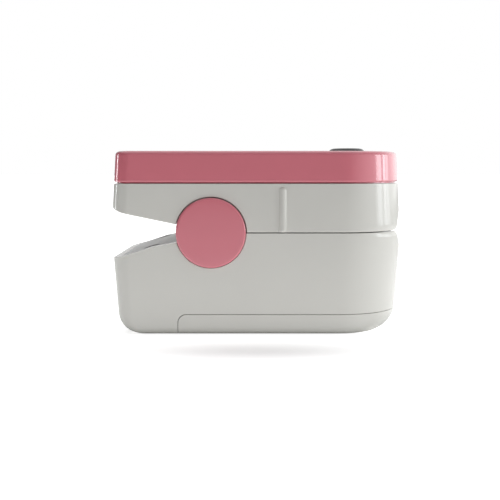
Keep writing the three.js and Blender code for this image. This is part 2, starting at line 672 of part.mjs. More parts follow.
add(oximeter, "power_button", powerButton(), blackPlastic(), [BUTTON.x, 0, 0]);
add(oximeter, "top_cover", topCover(), pink());
COVER_SCREWS.forEach(([x, y, z], i) => {
  add(oximeter, `cover_screw_${i + 1}`, screw(30.5 - z), steel(), [x, y, z + 1.05], [Math.PI, 0, 0]);
});

export default oximeter;
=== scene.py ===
"""Fingertip pulse oximeter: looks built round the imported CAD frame.

Pieces are modelled in millimetres in the row frame, and present() scales them to metres.
+X is the finger mouth, +Z up. "side" is 1 on the +Y side and -1 on the -Y side.
"""
import json
from math import asin, copysign, cos, hypot, pi, radians, sin, sqrt

import bmesh
import bpy
import numpy as np
from mathutils import Matrix, Vector


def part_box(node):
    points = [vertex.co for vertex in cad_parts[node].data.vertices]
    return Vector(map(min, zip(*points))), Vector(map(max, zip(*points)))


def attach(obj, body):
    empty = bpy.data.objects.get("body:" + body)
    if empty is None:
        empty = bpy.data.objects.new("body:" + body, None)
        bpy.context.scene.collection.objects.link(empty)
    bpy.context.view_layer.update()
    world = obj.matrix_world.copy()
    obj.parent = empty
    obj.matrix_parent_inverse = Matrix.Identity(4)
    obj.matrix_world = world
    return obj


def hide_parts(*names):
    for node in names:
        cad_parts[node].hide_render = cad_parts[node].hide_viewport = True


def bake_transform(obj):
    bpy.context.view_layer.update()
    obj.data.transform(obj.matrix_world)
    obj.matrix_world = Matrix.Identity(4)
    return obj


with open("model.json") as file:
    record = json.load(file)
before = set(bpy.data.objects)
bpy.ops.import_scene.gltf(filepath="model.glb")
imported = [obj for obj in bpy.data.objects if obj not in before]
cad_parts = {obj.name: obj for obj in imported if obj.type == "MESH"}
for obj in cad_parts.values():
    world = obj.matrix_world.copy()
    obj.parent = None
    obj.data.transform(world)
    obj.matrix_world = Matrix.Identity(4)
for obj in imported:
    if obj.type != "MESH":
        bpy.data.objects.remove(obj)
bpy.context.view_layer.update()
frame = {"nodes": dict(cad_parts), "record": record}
MM = 0.001

# ---------- Dimensions, as in the CAD source ----------
HALF_LENGTH, HALF_WIDTH = 29, 16.5  # nominal plan outline
MOUTH_CORNER, TAIL_CORNER = 13, 3.4
PARTING_Z, SEAM_Z, TOP_Z, DOOR_Z, DOOR_X = 20.2, 29.9, 36.2, 4.05, -16.2
WALL = 1.5
PAST = 20  # past both sides of the object
pin_low, pin_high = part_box("hinge_pin")
HINGE_X = (pin_low.x + pin_high.x) / 2 / MM
HINGE_Z = (pin_low.z + pin_high.z) / 2 / MM
CAP_RADIUS = (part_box("hinge_cap_left")[1].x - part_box("hinge_cap_left")[0].x) / 2 / MM
CAP_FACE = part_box("hinge_cap_left")[1].y / MM
NOTCH_RADIUS = 7.06
EAR, KNUCKLE, KNUCKLE_RADIUS = (14.2, 15.5), (11.5, 13.8), 4.5
POCKET_RADIUS, POCKET_REACH = 3.4, 11.3
SPRING = {"inner": 4.3, "outer": 9.7, "radius": 2.2, "wire": 0.4, "turns": 5.5, "leg": 6.2}
CHANNEL_WIDTH, CHANNEL_BELOW, CHANNEL_ABOVE, CHANNEL_START = 7.6, 2.9, 4.0, -4.6
PAD, PAD_SEAT = 1.0, 1.12
SENSOR_X, SENSOR_HALF = 12, (3, 2.4)
BAY_ROOF = (12.7, 13.7)
WINDOW_X, WINDOW_Y, WINDOW_CORNER, WINDOW_DEPTH = (-21.6, 10.4), 12.4, 2.4, 1.0
# The screws' X, Y and the height of each head's seat.
COVER_SCREWS = [(18.5, 11.6, 21.9), (18.5, -11.6, 21.9), (-24.4, 11.4, 25.2), (-24.4, -11.4, 25.2)]
HOUSING_SCREWS = [(18.5, 11.6, 18.4), (18.5, -11.6, 18.4), (-21.6, 11.4, 15.7),
                  (-21.6, -11.4, 15.7)]
button_low, button_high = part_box("power_button")
BUTTON_X, BUTTON_TOP = (button_low.x + button_high.x) / 2 / MM, button_high.z / MM
BUTTON_RADIUS = 3.8
CELL_RADIUS, CELL_LENGTH, CELL_START, CELL_Y, CELL_Z = 5.25, 44.5, -22, 5.6, 7.2
PIN_RADIUS, PIN_BORE = 1.2, 1.3
SEAM = 0.09  # half the visible gap between two housings
TAIL_RIM = 0.7  # rounding of the lower tail's top edges


# ---------- Mesh tools ----------
def linked(name, data):
    """A new object with that data, in the scene."""
    obj = bpy.data.objects.new(name, data)
    bpy.context.scene.collection.objects.link(obj)
    return obj


def mesh_object(verts, faces, name="piece"):
    """An object with its faces turned outwards."""
    bm = bmesh.new()
    made = [bm.verts.new(v) for v in verts]
    for face in faces:
        bm.faces.new([made[i] for i in face])
    bmesh.ops.recalc_face_normals(bm, faces=bm.faces)
    mesh = bpy.data.meshes.new(name)
    bm.to_mesh(mesh)
    bm.free()
    return linked(name, mesh)


def loft(rings, ends="flat", wrap=False):
    """Skin over rings of points. A ring of one point is a pole. ends is "flat" or "strips",
    which closes a ring that mirrors in Y with strips across it. wrap joins the last ring to
    the first."""
    verts = [p for ring in rings for p in ring]
    starts = [0]
    for ring in rings:
        starts.append(starts[-1] + len(ring))
    faces = []
    for a in range(len(rings) if wrap else len(rings) - 1):
        b = (a + 1) % len(rings)
        size = max(len(rings[a]), len(rings[b]))
        for i in range(size):
            j = (i + 1) % size
            low = [starts[a] + k % len(rings[a]) for k in (i, j)]
            high = [starts[b] + k % len(rings[b]) for k in (j, i)]
            face = list(dict.fromkeys(low + high))
            if len(face) > 2:
                faces.append(face)
    if not wrap:
        for k in (0, len(rings) - 1):
            size = len(rings[k])
            if size == 1:
                continue
            if ends == "strips":
                last = size - 1
                faces += [[starts[k] + n for n in (i, i + 1, last - 1 - i, last - i)]
                          for i in range(size // 2 - 1)]
            else:
                faces.append([starts[k] + i for i in range(size)])
    return mesh_object(verts, faces)


def combine(operation, target, *tools):
    """Works the tools into target one after another, and deletes them."""
    for tool in tools:
        change = target.modifiers.new("op", "BOOLEAN")
        change.object = tool
        change.operation = operation
        change.solver = "MANIFOLD"
        bake(target)
        bpy.data.objects.remove(tool)
    return target


def bake(obj):
    """Applies obj's modifiers."""
    bpy.context.view_layer.update()
    shaped = obj.evaluated_get(bpy.context.evaluated_depsgraph_get())
    mesh = bpy.data.meshes.new_from_object(shaped)
    obj.modifiers.clear()
    old, obj.data = obj.data, mesh
    bpy.data.meshes.remove(old)


def cut(target, *tools):
    return combine("DIFFERENCE", target, *tools)


def join(target, *tools):
    return combine("UNION", target, *tools)


def meet(target, *tools):
    return combine("INTERSECT", target, *tools)


def both(make):
    """One on each side of the middle, as a list."""
    return [make(1), make(-1)]


def sweep(angle, count):
    """Even angles from 0 to angle, both included."""
    return [angle * i / count for i in range(count + 1)]


def around(count):
    """Even angles all the way round."""
    return sweep(2 * pi, count)[:-1]


def arc(cx, cy, radius, start, end, count):
    """Points on an arc, in degrees, both ends included."""
    angles = [radians(start + a) for a in sweep(end - start, count)]
    return [(cx + radius * cos(a), cy + radius * sin(a)) for a in angles]


def stack(outline, stations):
    """Skin over an outline in X and Y, which is a function of inset, at (inset, z) stations."""
    return loft([[(x, y, z) for x, y in outline(inset)] for inset, z in stations])


def box(x0, x1, y0, y1, z0, z1, edge=0.0):
    """A block with its edges rounded off by edge."""
    e = min(edge, (x1 - x0) / 2.01, (y1 - y0) / 2.01, (z1 - z0) / 2.01)
    if e <= 0:
        return prism_z([(x0, y0), (x1, y0), (x1, y1), (x0, y1)], z0, z1)

    def outline(inset):
        corner = max(e - inset, e * 0.25)
        return rounded_plan(x0 + inset, x1 - inset, y0 + inset, y1 - inset, corner, 3)
    return stack(outline, rounding(e, z0, 1) + rounding(e, z1, -1)[::-1])


def side_boxes(x0, x1, near, far, z0, z1, edge=0.0):
    """A box on each side of the middle."""
    return both(lambda side: box(x0, x1, *sorted((side * near, side * far)), z0, z1, edge))


def rounding(radius, z, direction, count=3):
    """(inset, height) pairs that round an edge at height z, from the face inwards."""
    return [(radius * (1 - sin(a)), z + direction * radius * (1 - cos(a)))
            for a in sweep(pi / 2, count)]


def rounded_plan(x0, x1, y0, y1, r, count=8):
    return (arc(x0 + r, y0 + r, r, 180, 270, count) + arc(x1 - r, y0 + r, r, 270, 360, count)
            + arc(x1 - r, y1 - r, r, 0, 90, count) + arc(x0 + r, y1 - r, r, 90, 180, count))


def prism_y(points, y0, y1):
    """A polygon in X and Z, from y0 to y1."""
    return loft([[(x, y, z) for x, z in points] for y in (y0, y1)])


def prism_z(points, z0, z1):
    return stack(lambda _: points, [(0, z0), (0, z1)])


def spin(profile, place, segments=64, wrap=False):
    """Turns (radius, height) pairs round an axis. place maps (u, v, height) to a point."""
    rings = []
    for r, h in profile:
        if r == 0:
            rings.append([place(0, 0, h)])
        else:
            rings.append([place(r * cos(a), r * sin(a), h) for a in around(segments)])
    return loft(rings, wrap=wrap)


def on_hinge(side):
    """Axis along the hinge, heights measured outwards on that side."""
    return lambda u, v, h: (HINGE_X + u, side * h, HINGE_Z + v)


def upright(x, y):
    return lambda u, v, h: (x + u, y + v, h)


def along_x(y, z, direction, start):
    return lambda u, v, h: (start + direction * h, y + u, z + v)


def rod(place, radius, h0, h1, segments=48, flare=0.0):
    """A round tool. flare rounds the edge that it leaves where it comes out, 1 below h1."""
    profile = [(0, h0), (radius, h0)]
    if flare:
        profile += [(radius + inset, h) for inset, h in rounding(flare, h1 - 1, -1)[::-1]]
    return spin(profile + [(radius + flare, h1), (0, h1)], place, segments)


def hinge_rods(radius, inner, outer, segments=48):
    """A round tool on the hinge line on each side."""
    return both(lambda side: rod(on_hinge(side), radius, inner, outer, segments))


def tube(points, radius, segments):
    """Round wire along points, with drawn-in ends."""
    p = np.array(points, float)
    tangents = np.gradient(p, axis=0)
    tangents /= np.linalg.norm(tangents, axis=1)[:, None]
    normal = np.cross(tangents[0], (0.31, 0.57, 0.76))  # any direction across the wire
    rings = []
    for i, t in enumerate(tangents):
        normal = normal - t * (normal @ t)
        normal /= np.linalg.norm(normal)
        across = np.cross(t, normal)
        shrink = 0.6 if i in (0, len(p) - 1) else 1.0
        rings.append([tuple(p[i] + shrink * radius * (cos(a) * normal + sin(a) * across))
                      for a in around(segments)])
    return loft(rings)


# ---------- The body's outer form ----------
def fillet(depth, height, h):
    """How far a rounded edge draws a wall in, at distance h from the edge."""
    if h >= height:
        return 0.0
    u = 1 - max(h, 0) / height
    return depth * (1 - sqrt(max(1 - u * u, 0)))


def drawn_in(px, length, reach):
    """X of an outline point once the end wall at length stands at reach. The corners move less."""
    return px - copysign(1, px) * (length - reach) * (px / length) ** 4


def drawn_back(x, length, reach):
    """The px that drawn_in turns into x, by Newton's method."""
    px = x
    for _ in range(6):
        share = (length - reach) * abs(px / length) ** 3 / length
        px -= (px - share * px - x) / (1 - 4 * share)
    return px


class Form:
    """One half's walls: how far tail, mouth and sides stand out from the middle at height z."""

    def __init__(self, tail, mouth, side):
        self.tail, self.mouth, self.side = tail, mouth, side

    def place(self, px, py, z, inset):
        """Where a point of the nominal outline, drawn in by inset, lies at height z."""
        reach = self.tail(z) if px < 0 else self.mouth(z)
        return (drawn_in(px, HALF_LENGTH - inset, reach - inset),
                py / (HALF_WIDTH - inset) * (self.side(z) - inset), z)

    def ring(self, z, inset=0.0, lift=0.0):
        """Outline at height z, drawn in by inset. z may be a function of X, raised by lift."""
        level = z if callable(z) else (lambda x: z)
        return [self.place(px, py, level(px) + lift, inset) for px, py in plan(inset)]

    def block(self, heights, inset=0.0):
        return loft([self.ring(z, inset) for z in heights], ends="strips")

    def mouth_x(self, y, z):
        """X of the mouth wall at that point."""
        py = abs(y) * HALF_WIDTH / self.side(z)
        flat = HALF_WIDTH - MOUTH_CORNER
        bend = max(min(py - flat, MOUTH_CORNER), 0)
        px = HALF_LENGTH - MOUTH_CORNER + sqrt(MOUTH_CORNER ** 2 - bend ** 2)
        return drawn_in(px, HALF_LENGTH, self.mouth(z))

    def field(self, x, y, z):
        """Signed distance from the nominal outline of a point brought back to it."""
        px = drawn_back(x, HALF_LENGTH, self.tail(z) if x < 0 else self.mouth(z))
        py = abs(y) * HALF_WIDTH / self.side(z)
        r = MOUTH_CORNER if px > 0 else TAIL_CORNER
        qx, qy = abs(px) - HALF_LENGTH + r, py - HALF_WIDTH + r
        return hypot(max(qx, 0), max(qy, 0)) + min(max(qx, qy), 0) - r

    def normal(self, p):
        """Outward direction of the wall at p."""
        step = 0.01
        steps = [Vector(row) * step for row in Matrix.Identity(3)]
        slope = [self.field(*(p + d)) - self.field(*(p - d)) for d in steps]
        return Vector(slope).normalized()


# X of the points along a straight side.
SIDE_STATIONS = [-24.6, -23, -21.2, -18.8, -16.4, -13.25, -13.0, -6, 4, 12]


def plan(inset):
    """Nominal outline, from the middle of the tail along the -Y side to the mouth and back."""
    length, width = HALF_LENGTH - inset, HALF_WIDTH - inset
    tail, mouth = max(TAIL_CORNER - inset, 0.5), max(MOUTH_CORNER - inset, 0.5)
    half = arc(-length + tail, -width + tail, tail, 180, 270, 10)
    half += [(x, -width) for x in SIDE_STATIONS]
    half += arc(length - mouth, -width + mouth, mouth, 270, 360, 30)
    return half + [(x, -y) for x, y in reversed(half)]


LOWER = Form(
    tail=lambda z: 28.05 + 0.0717 * z - fillet(4, 4, z),
    mouth=lambda z: 28.34 + 0.062 * z - fillet(4.6, 4.6, z) - fillet(1.2, 1.3, PARTING_Z - z),
    side=lambda z: 16.3 + 0.01 * z - fillet(1.5, 1.5, z),
)
UPPER = Form(
    tail=lambda z: 29.2 - 0.062 * (z - 25) - fillet(0.8, 0.8, TOP_Z - z),
    mouth=lambda z: (29.35 - 0.061 * (z - 22.7) - fillet(0.8, 0.8, TOP_Z - z)
                     - fillet(0.9, 1.5, z - PARTING_Z)),
    side=lambda z: HALF_WIDTH - 0.02 * (z - PARTING_Z) - fillet(0.9, 0.9, TOP_Z - z),
)
# Heights of the rings round the base, then X and Z along each side of the pinch gap.
BASE_LEVELS = [0, 0.05, 0.15, 0.3, 0.5, 0.75, 1.05, 1.5, 2, 2.5, 3.05]
UPPER_TAIL = [(-29.6, 25.3), (-27.4, 24.2), (-25.7, 23.8), (-16.4, 21.85), (-13.2, 21.2)]
LOWER_TAIL = [(-29.6, 15.0), (-26.4, 15.7), (-21.2, 17.4), (-16.4, 18.35), (-13.2, 18.95)]


def tail_line(line, beyond):
    """Height of a pinch-gap surface as a function of X, and the parting beyond it."""
    xs, zs = zip(*line)
    return lambda x: beyond if x > -13.1 else float(np.interp(x, xs, zs))


UNDER_UPPER = tail_line(UPPER_TAIL, PARTING_Z + SEAM)
OVER_LOWER = tail_line(LOWER_TAIL, PARTING_Z - SEAM)


def channel_plan(grow, direction):
    """The finger channel's half oval in Y and Z, carried 2 mm past the parting plane."""
    height = (CHANNEL_ABOVE if direction > 0 else CHANNEL_BELOW) + grow
    width = CHANNEL_WIDTH + grow
    past = PARTING_Z - direction * 2
    oval = [(width * cos(a), PARTING_Z + direction * height * sin(a))
            for a in sweep(pi, 28)]
    return oval + [(-width, past), (width, past)]


def channel(grow, direction, x0, x1):
    return loft([[(x, y, z) for y, z in channel_plan(grow, direction)] for x in (x0, x1)])


def channel_mouth(form, direction):
    """The channel's cut through the mouth wall, with its outer edge rounded."""
    flare = 0.35
    stations = [(0.0, 40.0), (0.0, 3.0)] + rounding(flare, 0, 1, 6)[::-1] + [(flare, -3.0)]
    low, high = (PARTING_Z, 30) if direction > 0 else (12, PARTING_Z)
    rings = []
    for grow, depth in stations:
        rings.append([(form.mouth_x(y, min(max(z, low), high)) - depth, y, z)
                      for y, z in channel_plan(PAD_SEAT + grow, direction)])
    rings[0] = [(CHANNEL_START, y, z) for x, y, z in rings[0]]
    return loft(rings)


def sensor_plan(grow, corner):
    x, y = SENSOR_HALF
    return rounded_plan(SENSOR_X - x - grow, SENSOR_X + x + grow, -y - grow, y + grow, corner, 6)


def sensor_hole(grow, z0, z1):
    return prism_z(sensor_plan(grow, 0.5 + grow), z0, z1)


def notch(radius, edge, form, inner, flare=0.12):
    """A round tool on the hinge line, its edge rounded where it meets the side wall. edge is
    the lowest and highest point of that wall."""
    stations = [(0.0, None)] + rounding(flare, 0, 1)[::-1] + [(flare, -2.0)]

    def make(side):
        rings = []
        for grow, depth in stations:
            ring = []
            for a in around(160):
                x = HINGE_X + (radius + grow) * cos(a)
                z = HINGE_Z + (radius + grow) * sin(a)
                level = min(max(z, edge[0]), edge[1])
                y = inner if depth is None else form.side(level) - depth
                ring.append((x, side * y, z))
            rings.append(ring)
        return loft(rings)
    return both(make)


# ---------- Materials ----------
def feed(tree, node, inputs):
    """Links each {input: value} that is a node's output, and sets the others."""
    for key, value in inputs.items():
        if isinstance(value, bpy.types.NodeSocket):
            tree.links.new(value, node.inputs[key])
        else:
            node.inputs[key].default_value = value
    return node


def add_node(tree, kind, inputs=None, **settings):
    node = tree.nodes.new("ShaderNode" + kind)
    for key, value in settings.items():
        setattr(node, key, value)
    return feed(tree, node, inputs or {})


def node_material(name):
    material = bpy.data.materials.new(name)
    material.use_nodes = True
    tree = material.node_tree
    return material, tree, tree.nodes["Principled BSDF"]


def own_space(tree):
    """The object's own space, so that a texture rides with its piece."""
    return add_node(tree, "TexCoord").outputs["Object"]


def axes(tree, place):
    return add_node(tree, "SeparateXYZ", {"Vector": place}).outputs


def noise(tree, scale, detail=2.0):
    """scale is per millimetre."""
    inputs = {"Scale": scale / MM, "Detail": detail, "Vector": own_space(tree)}
    return add_node(tree, "TexNoise", inputs).outputs["Fac"]


def ramp(tree, fac, low, high):
    node = add_node(tree, "ValToRGB", {"Fac": fac})
    for element, position, color in zip(node.color_ramp.elements, (0.3, 0.7), (low, high)):
        element.position = position
        element.color = (*color, 1)
    return node.outputs["Color"]


def spread(tree, value, start, end, low, high, shape="LINEAR"):
    """value from start to end becomes low to high, held at both ends."""
    inputs = {"Value": value, "From Min": start, "From Max": end, "To Min": low, "To Max": high}
    return add_node(tree, "MapRange", inputs, interpolation_type=shape).outputs["Result"]


def math_node(tree, operation, *values):
    return add_node(tree, "Math", dict(enumerate(values)), operation=operation).outputs["Value"]


def vector_node(tree, operation, *values):
    node = add_node(tree, "VectorMath", dict(enumerate(values)), operation=operation)
    return node.outputs["Value" if operation == "LENGTH" else "Vector"]


def mixed(tree, factor, a, b):
    """Colour a where factor is 0, and b where it is 1."""
    node = add_node(tree, "Mix", {"Factor": factor, "A": a, "B": b}, data_type="RGBA")
    return node.outputs["Result"]


def bump(tree, height, strength, depth):
    """The normals of a surface with that height. depth is in millimetres."""
    inputs = {"Strength": strength, "Distance": depth * MM, "Height": height}
    return add_node(tree, "Bump", inputs).outputs["Normal"]


def moulded(name, color, roughness, vary=0.02, grain=1.6, grain_depth=0.004, more=None):
    """Moulded plastic: slow colour drift, uneven gloss and a fine orange-peel surface."""
    material, tree, shader = node_material(name)
    low = tuple(c * (1 - vary) for c in color)
    high = tuple(min(c * (1 + vary), 1) for c in color)
    feed(tree, shader, {
        "Base Color": ramp(tree, noise(tree, 0.09, 3), low, high),
        "Roughness": spread(tree, noise(tree, 0.5, 3), 0, 1, roughness * 0.85, roughness * 1.15),
        "Normal": bump(tree, noise(tree, grain, 3), 0.5, grain_depth),
        **(more or {}),
    })
    return material


def metal(name, color, roughness):
    """Plated or drawn metal with a finely mottled surface."""
    material, tree, shader = node_material(name)
    mottle = noise(tree, 3, 4)
    feed(tree, shader, {
        "Base Color": ramp(tree, mottle, tuple(c * 0.78 for c in color), color),
        "Roughness": spread(tree, mottle, 0, 1, roughness * 0.7, roughness * 1.4),
        "Metallic": 1,
        "Normal": bump(tree, mottle, 0.3, 0.004),
    })
    return material


def board_material():
    """Solder mask over copper: darker ground, lighter tracks, small vias."""
    material, tree, shader = node_material("board_green")
    bricks = add_node(tree, "TexBrick", {
        "Vector": own_space(tree), "Scale": 0.42 / MM, "Mortar Size": 0.018,
        "Color1": (0.012, 0.11, 0.045, 1), "Color2": (0.014, 0.13, 0.05, 1),
        "Mortar": (0.03, 0.24, 0.10, 1)})
    vias = add_node(tree, "TexVoronoi", {"Vector": own_space(tree), "Scale": 0.5 / MM})
    dots = math_node(tree, "LESS_THAN", vias.outputs["Distance"], 0.09)
    feed(tree, shader, {
        "Base Color": mixed(tree, dots, bricks.outputs["Color"], (0.55, 0.48, 0.30, 1)),
        "Roughness": 0.35,
        "Normal": bump(tree, bricks.outputs["Fac"], 0.4, 0.02),
    })
    return material


LACQUER = {"Coat Weight": 1.0, "Coat Roughness": 0.05}


def window_material():
    """Smoked acrylic, with the unlit display just showing through it."""
    material = moulded("smoked_window", (0.008, 0.008, 0.010), 0.05, vary=0.2, grain=0.4,
                       grain_depth=0.0006, more=LACQUER)
    tree = material.node_tree
    shader = tree.nodes["Principled BSDF"]
    place = axes(tree, own_space(tree))
    display_low, display_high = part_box("display_module")
    soft = 0.15 * MM
    inside = 1.0
    for k, axis in enumerate("XY"):
        for edge, step in ((display_low[k], soft), (display_high[k], -soft)):
            past_edge = spread(tree, place[axis], edge - step, edge + step, 0.0, 1.0)
            inside = math_node(tree, "MULTIPLY", inside, past_edge)
    smoke = shader.inputs["Base Color"].links[0].from_socket
    display = ramp(tree, noise(tree, 0.2), (0.021, 0.023, 0.028), (0.024, 0.026, 0.032))
    feed(tree, shader, {"Base Color": mixed(tree, inside, smoke, display)})
    return material


def sleeve_material():
    """Printed film: dark grey with a plain lighter band round each cell's two ends."""
    material, tree, shader = node_material("cell_film")
    reach = math_node(tree, "ABSOLUTE", axes(tree, own_space(tree))["X"])
    band = spread(tree, reach, 15.0 * MM, 15.1 * MM, 0.0, 1.0)
    drift = noise(tree, 0.5, 3)
    dark = ramp(tree, drift, (0.018, 0.02, 0.024), (0.026, 0.028, 0.032))
    light = ramp(tree, drift, (0.36, 0.30, 0.19), (0.42, 0.35, 0.22))
    feed(tree, shader, {
        "Base Color": mixed(tree, band, dark, light),
        "Roughness": spread(tree, drift, 0, 1, 0.22, 0.34),
        "Normal": bump(tree, noise(tree, 1.2, 2), 0.4, 0.006),
        "Coat Weight": 0.4,
    })
    return material


WHITE = moulded("white_abs", (0.785, 0.78, 0.735), 0.14, vary=0.012, grain_depth=0.0025,
                more={"Specular IOR Level": 0.6})
# The white plastic again, painted lighter and bluer for the inner cover: painted light, standing in
# for the backdrop's light on the surfaces in the pinch gap.
INNER_WHITE_PAINTED_LIGHT = moulded("white_abs_inner_painted_light", (0.86, 0.85, 0.87), 0.42, vary=0.008, grain=2,
                      grain_depth=0.003, more={"Specular IOR Level": 0.4})
PINK = moulded("pink_abs", (0.80, 0.215, 0.27), 0.2, vary=0.015, grain=1.2, grain_depth=0.002,
               more={**LACQUER, "Coat IOR": 1.6})
SOFT = {"Subsurface Weight": 0.15, "Subsurface Radius": (1, 0.8, 0.7),
        "Subsurface Scale": 0.8 * MM}
SILICONE = moulded("grey_silicone", (0.34, 0.35, 0.37), 0.55, vary=0.04, grain=5,
                   grain_depth=0.012, more=SOFT)
BLACK = moulded("black_satin", (0.008, 0.008, 0.009), 0.3, vary=0.12, grain=5, grain_depth=0.008)
CREAM = moulded("cream_nylon", (0.70, 0.66, 0.54), 0.5, vary=0.04, grain=3, grain_depth=0.008)
WINDOW = window_material()
GLASS = moulded("display_glass", (0.02, 0.022, 0.028), 0.08, vary=0.1, grain=0.4,
                grain_depth=0.0006, more=LACQUER)
AMBER = moulded("amber_film", (0.46, 0.20, 0.04), 0.28, vary=0.15, grain=1.5)
CLEAR = moulded("clear_acrylic", (0.82, 0.84, 0.86), 0.12, grain=0.8, grain_depth=0.001,
                more={"Transmission Weight": 0.7, "IOR": 1.49})
SLEEVE = sleeve_material()
STEEL = metal("plated_steel", (0.66, 0.66, 0.68), 0.24)
SPRING_STEEL = metal("spring_steel", (0.42, 0.42, 0.44), 0.3)
BOARD = board_material()
FINISHES = {
    "white_plastic": WHITE, "pink_plastic": PINK, "grey_silicone": SILICONE,
    "clear_window": CLEAR, "dark_window": WINDOW, "green_board": BOARD, "black_plastic": BLACK,
    "cream_plastic": CREAM, "display_glass": GLASS, "amber_film": AMBER, "cell_sleeve": SLEEVE,
    "spring_steel": SPRING_STEEL, "steel": STEEL,
}


# ---------- Making a piece part of the object ----------
def present(obj, name, body, slot, node, form=None, angle=38, blend=None, material=None):
    """Scales obj to metres, shades it, and puts it on its body in place of the CAD node.
    Edges sharper than angle stay sharp. form is the half whose walls its outside follows."""
    obj.name = name
    mesh = obj.data
    mesh.name = name
    mesh.materials.clear()
    mesh.materials.append(material or FINISHES[slot])
    tidy_mesh(mesh)
    mesh.shade_smooth()
    mesh.set_sharp_from_angle(angle=radians(angle))
    weighted = obj.modifiers.new("weighted", "WEIGHTED_NORMAL")
    weighted.keep_sharp = True
    bake(obj)
    mesh = obj.data
    if form:
        follow_form(mesh, form)
    mesh.transform(Matrix.Scale(MM, 4))
    if blend:
        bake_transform(obj)
    else:
        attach(obj, body)
    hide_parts(node)


def tidy_mesh(mesh):
    """Merges the doubled points and drops the slivers that booleans leave."""
    bm = bmesh.new()
    bm.from_mesh(mesh)
    bmesh.ops.remove_doubles(bm, verts=bm.verts, dist=0.0005)
    bmesh.ops.dissolve_degenerate(bm, edges=bm.edges, dist=0.0005)
    bm.to_mesh(mesh)
    bm.free()


def follow_form(mesh, form):
    """Shades faces on the outer walls with the walls' own smooth normals."""
    reach, same_way = 0.02, 0.9
    normals = [Vector(n.vector) for n in mesh.corner_normals]
    near = [abs(form.field(*v.co)) < reach for v in mesh.vertices]
    for polygon in mesh.polygons:
        if all(near[i] for i in polygon.vertices):
            for loop in polygon.loop_indices:
                wall = form.normal(mesh.vertices[mesh.loops[loop].vertex_index].co)
                if wall.dot(polygon.normal) > same_way:
                    normals[loop] = wall
    mesh.normals_split_custom_set(normals)


# ---------- Upper jaw ----------
def window_plan(grow, count=10, corner=WINDOW_CORNER):
    """The display window's outline, larger by grow all round."""
    return rounded_plan(WINDOW_X[0] - grow, WINDOW_X[1] + grow, -WINDOW_Y - grow,
                        WINDOW_Y + grow, corner + grow, count)


def top_cover():
    bottom, roof, seat = SEAM_Z + 0.2, TOP_Z - 1.4, TOP_Z - WINDOW_DEPTH
    outer = [(z, inset) for inset, z in rounding(0.3, bottom, 1, 4)]
    outer += [(TOP_Z - h, 0) for h in (0.92, 0.75, 0.58, 0.43, 0.3, 0.19, 0.11, 0.05, 0.015, 0)]
    outer += [(TOP_Z, 0.3)]
    inner = [(roof, 1.4), (bottom + 0.1, 1.4), (bottom, 1.3)]
    shell = loft([UPPER.ring(z, inset) for z, inset in inner + outer], ends="strips")
    tongue = [(SEAM_Z - 1, 1.62), (SEAM_Z - 0.02, 1.62), (SEAM_Z - 0.02, 0.6),
              (SEAM_Z + 0.8, 0.6), (SEAM_Z + 0.8, 2.1), (SEAM_Z - 1, 2.1)]
    tongue_ring = loft([UPPER.ring(z, inset) for z, inset in tongue], wrap=True)
    window_frame = prism_z(window_plan(1.2), seat - 1.2, seat + 0.1)
    bosses = [rod(upright(x, y), 2.2, 28.3, roof + 0.3) for x, y, _ in COVER_SCREWS]
    shell = join(shell, tongue_ring, window_frame, *bosses)
    stations = [(0.0, seat)] + rounding(0.25, TOP_Z, -1, 4)[::-1] + [(0.25, TOP_Z + 1)]
    recess = stack(lambda inset: window_plan(inset + 0.08), stations)
    opening = prism_z(window_plan(-1.9, 6, 2.7), 30, TOP_Z)
    button_hole = rod(upright(BUTTON_X, 0), BUTTON_RADIUS + 0.14, 30, TOP_Z + 1, 96, 0.25)
    holes = [rod(upright(x, y), 0.95, 20, 33, 24) for x, y, _ in COVER_SCREWS]
    return cut(shell, recess, opening, button_hole, *holes)


def rib(side):
    """The grip rib on the upper housing: a long rounded bead, proud of the wall."""
    x, half, low, high = 4.5, 0.88, PARTING_Z + SEAM, 29.25
    stations = [(low + 0.45 * (1 - cos(a)), 0.55 + 0.45 * sin(a)) for a in sweep(pi / 2, 8)]
    stations += [(high - 0.75 * (1 - sin(a)), cos(a)) for a in sweep(pi / 2, 12)]
    stations[-1] = (high, 0.02)
    rings = []
    for z, grow in stations:
        centre = UPPER.side(z) - 0.5
        rings.append([(x + half * grow * cos(a), side * (centre + grow * sin(a)), z)
                      for a in around(40)])
    return loft(rings)


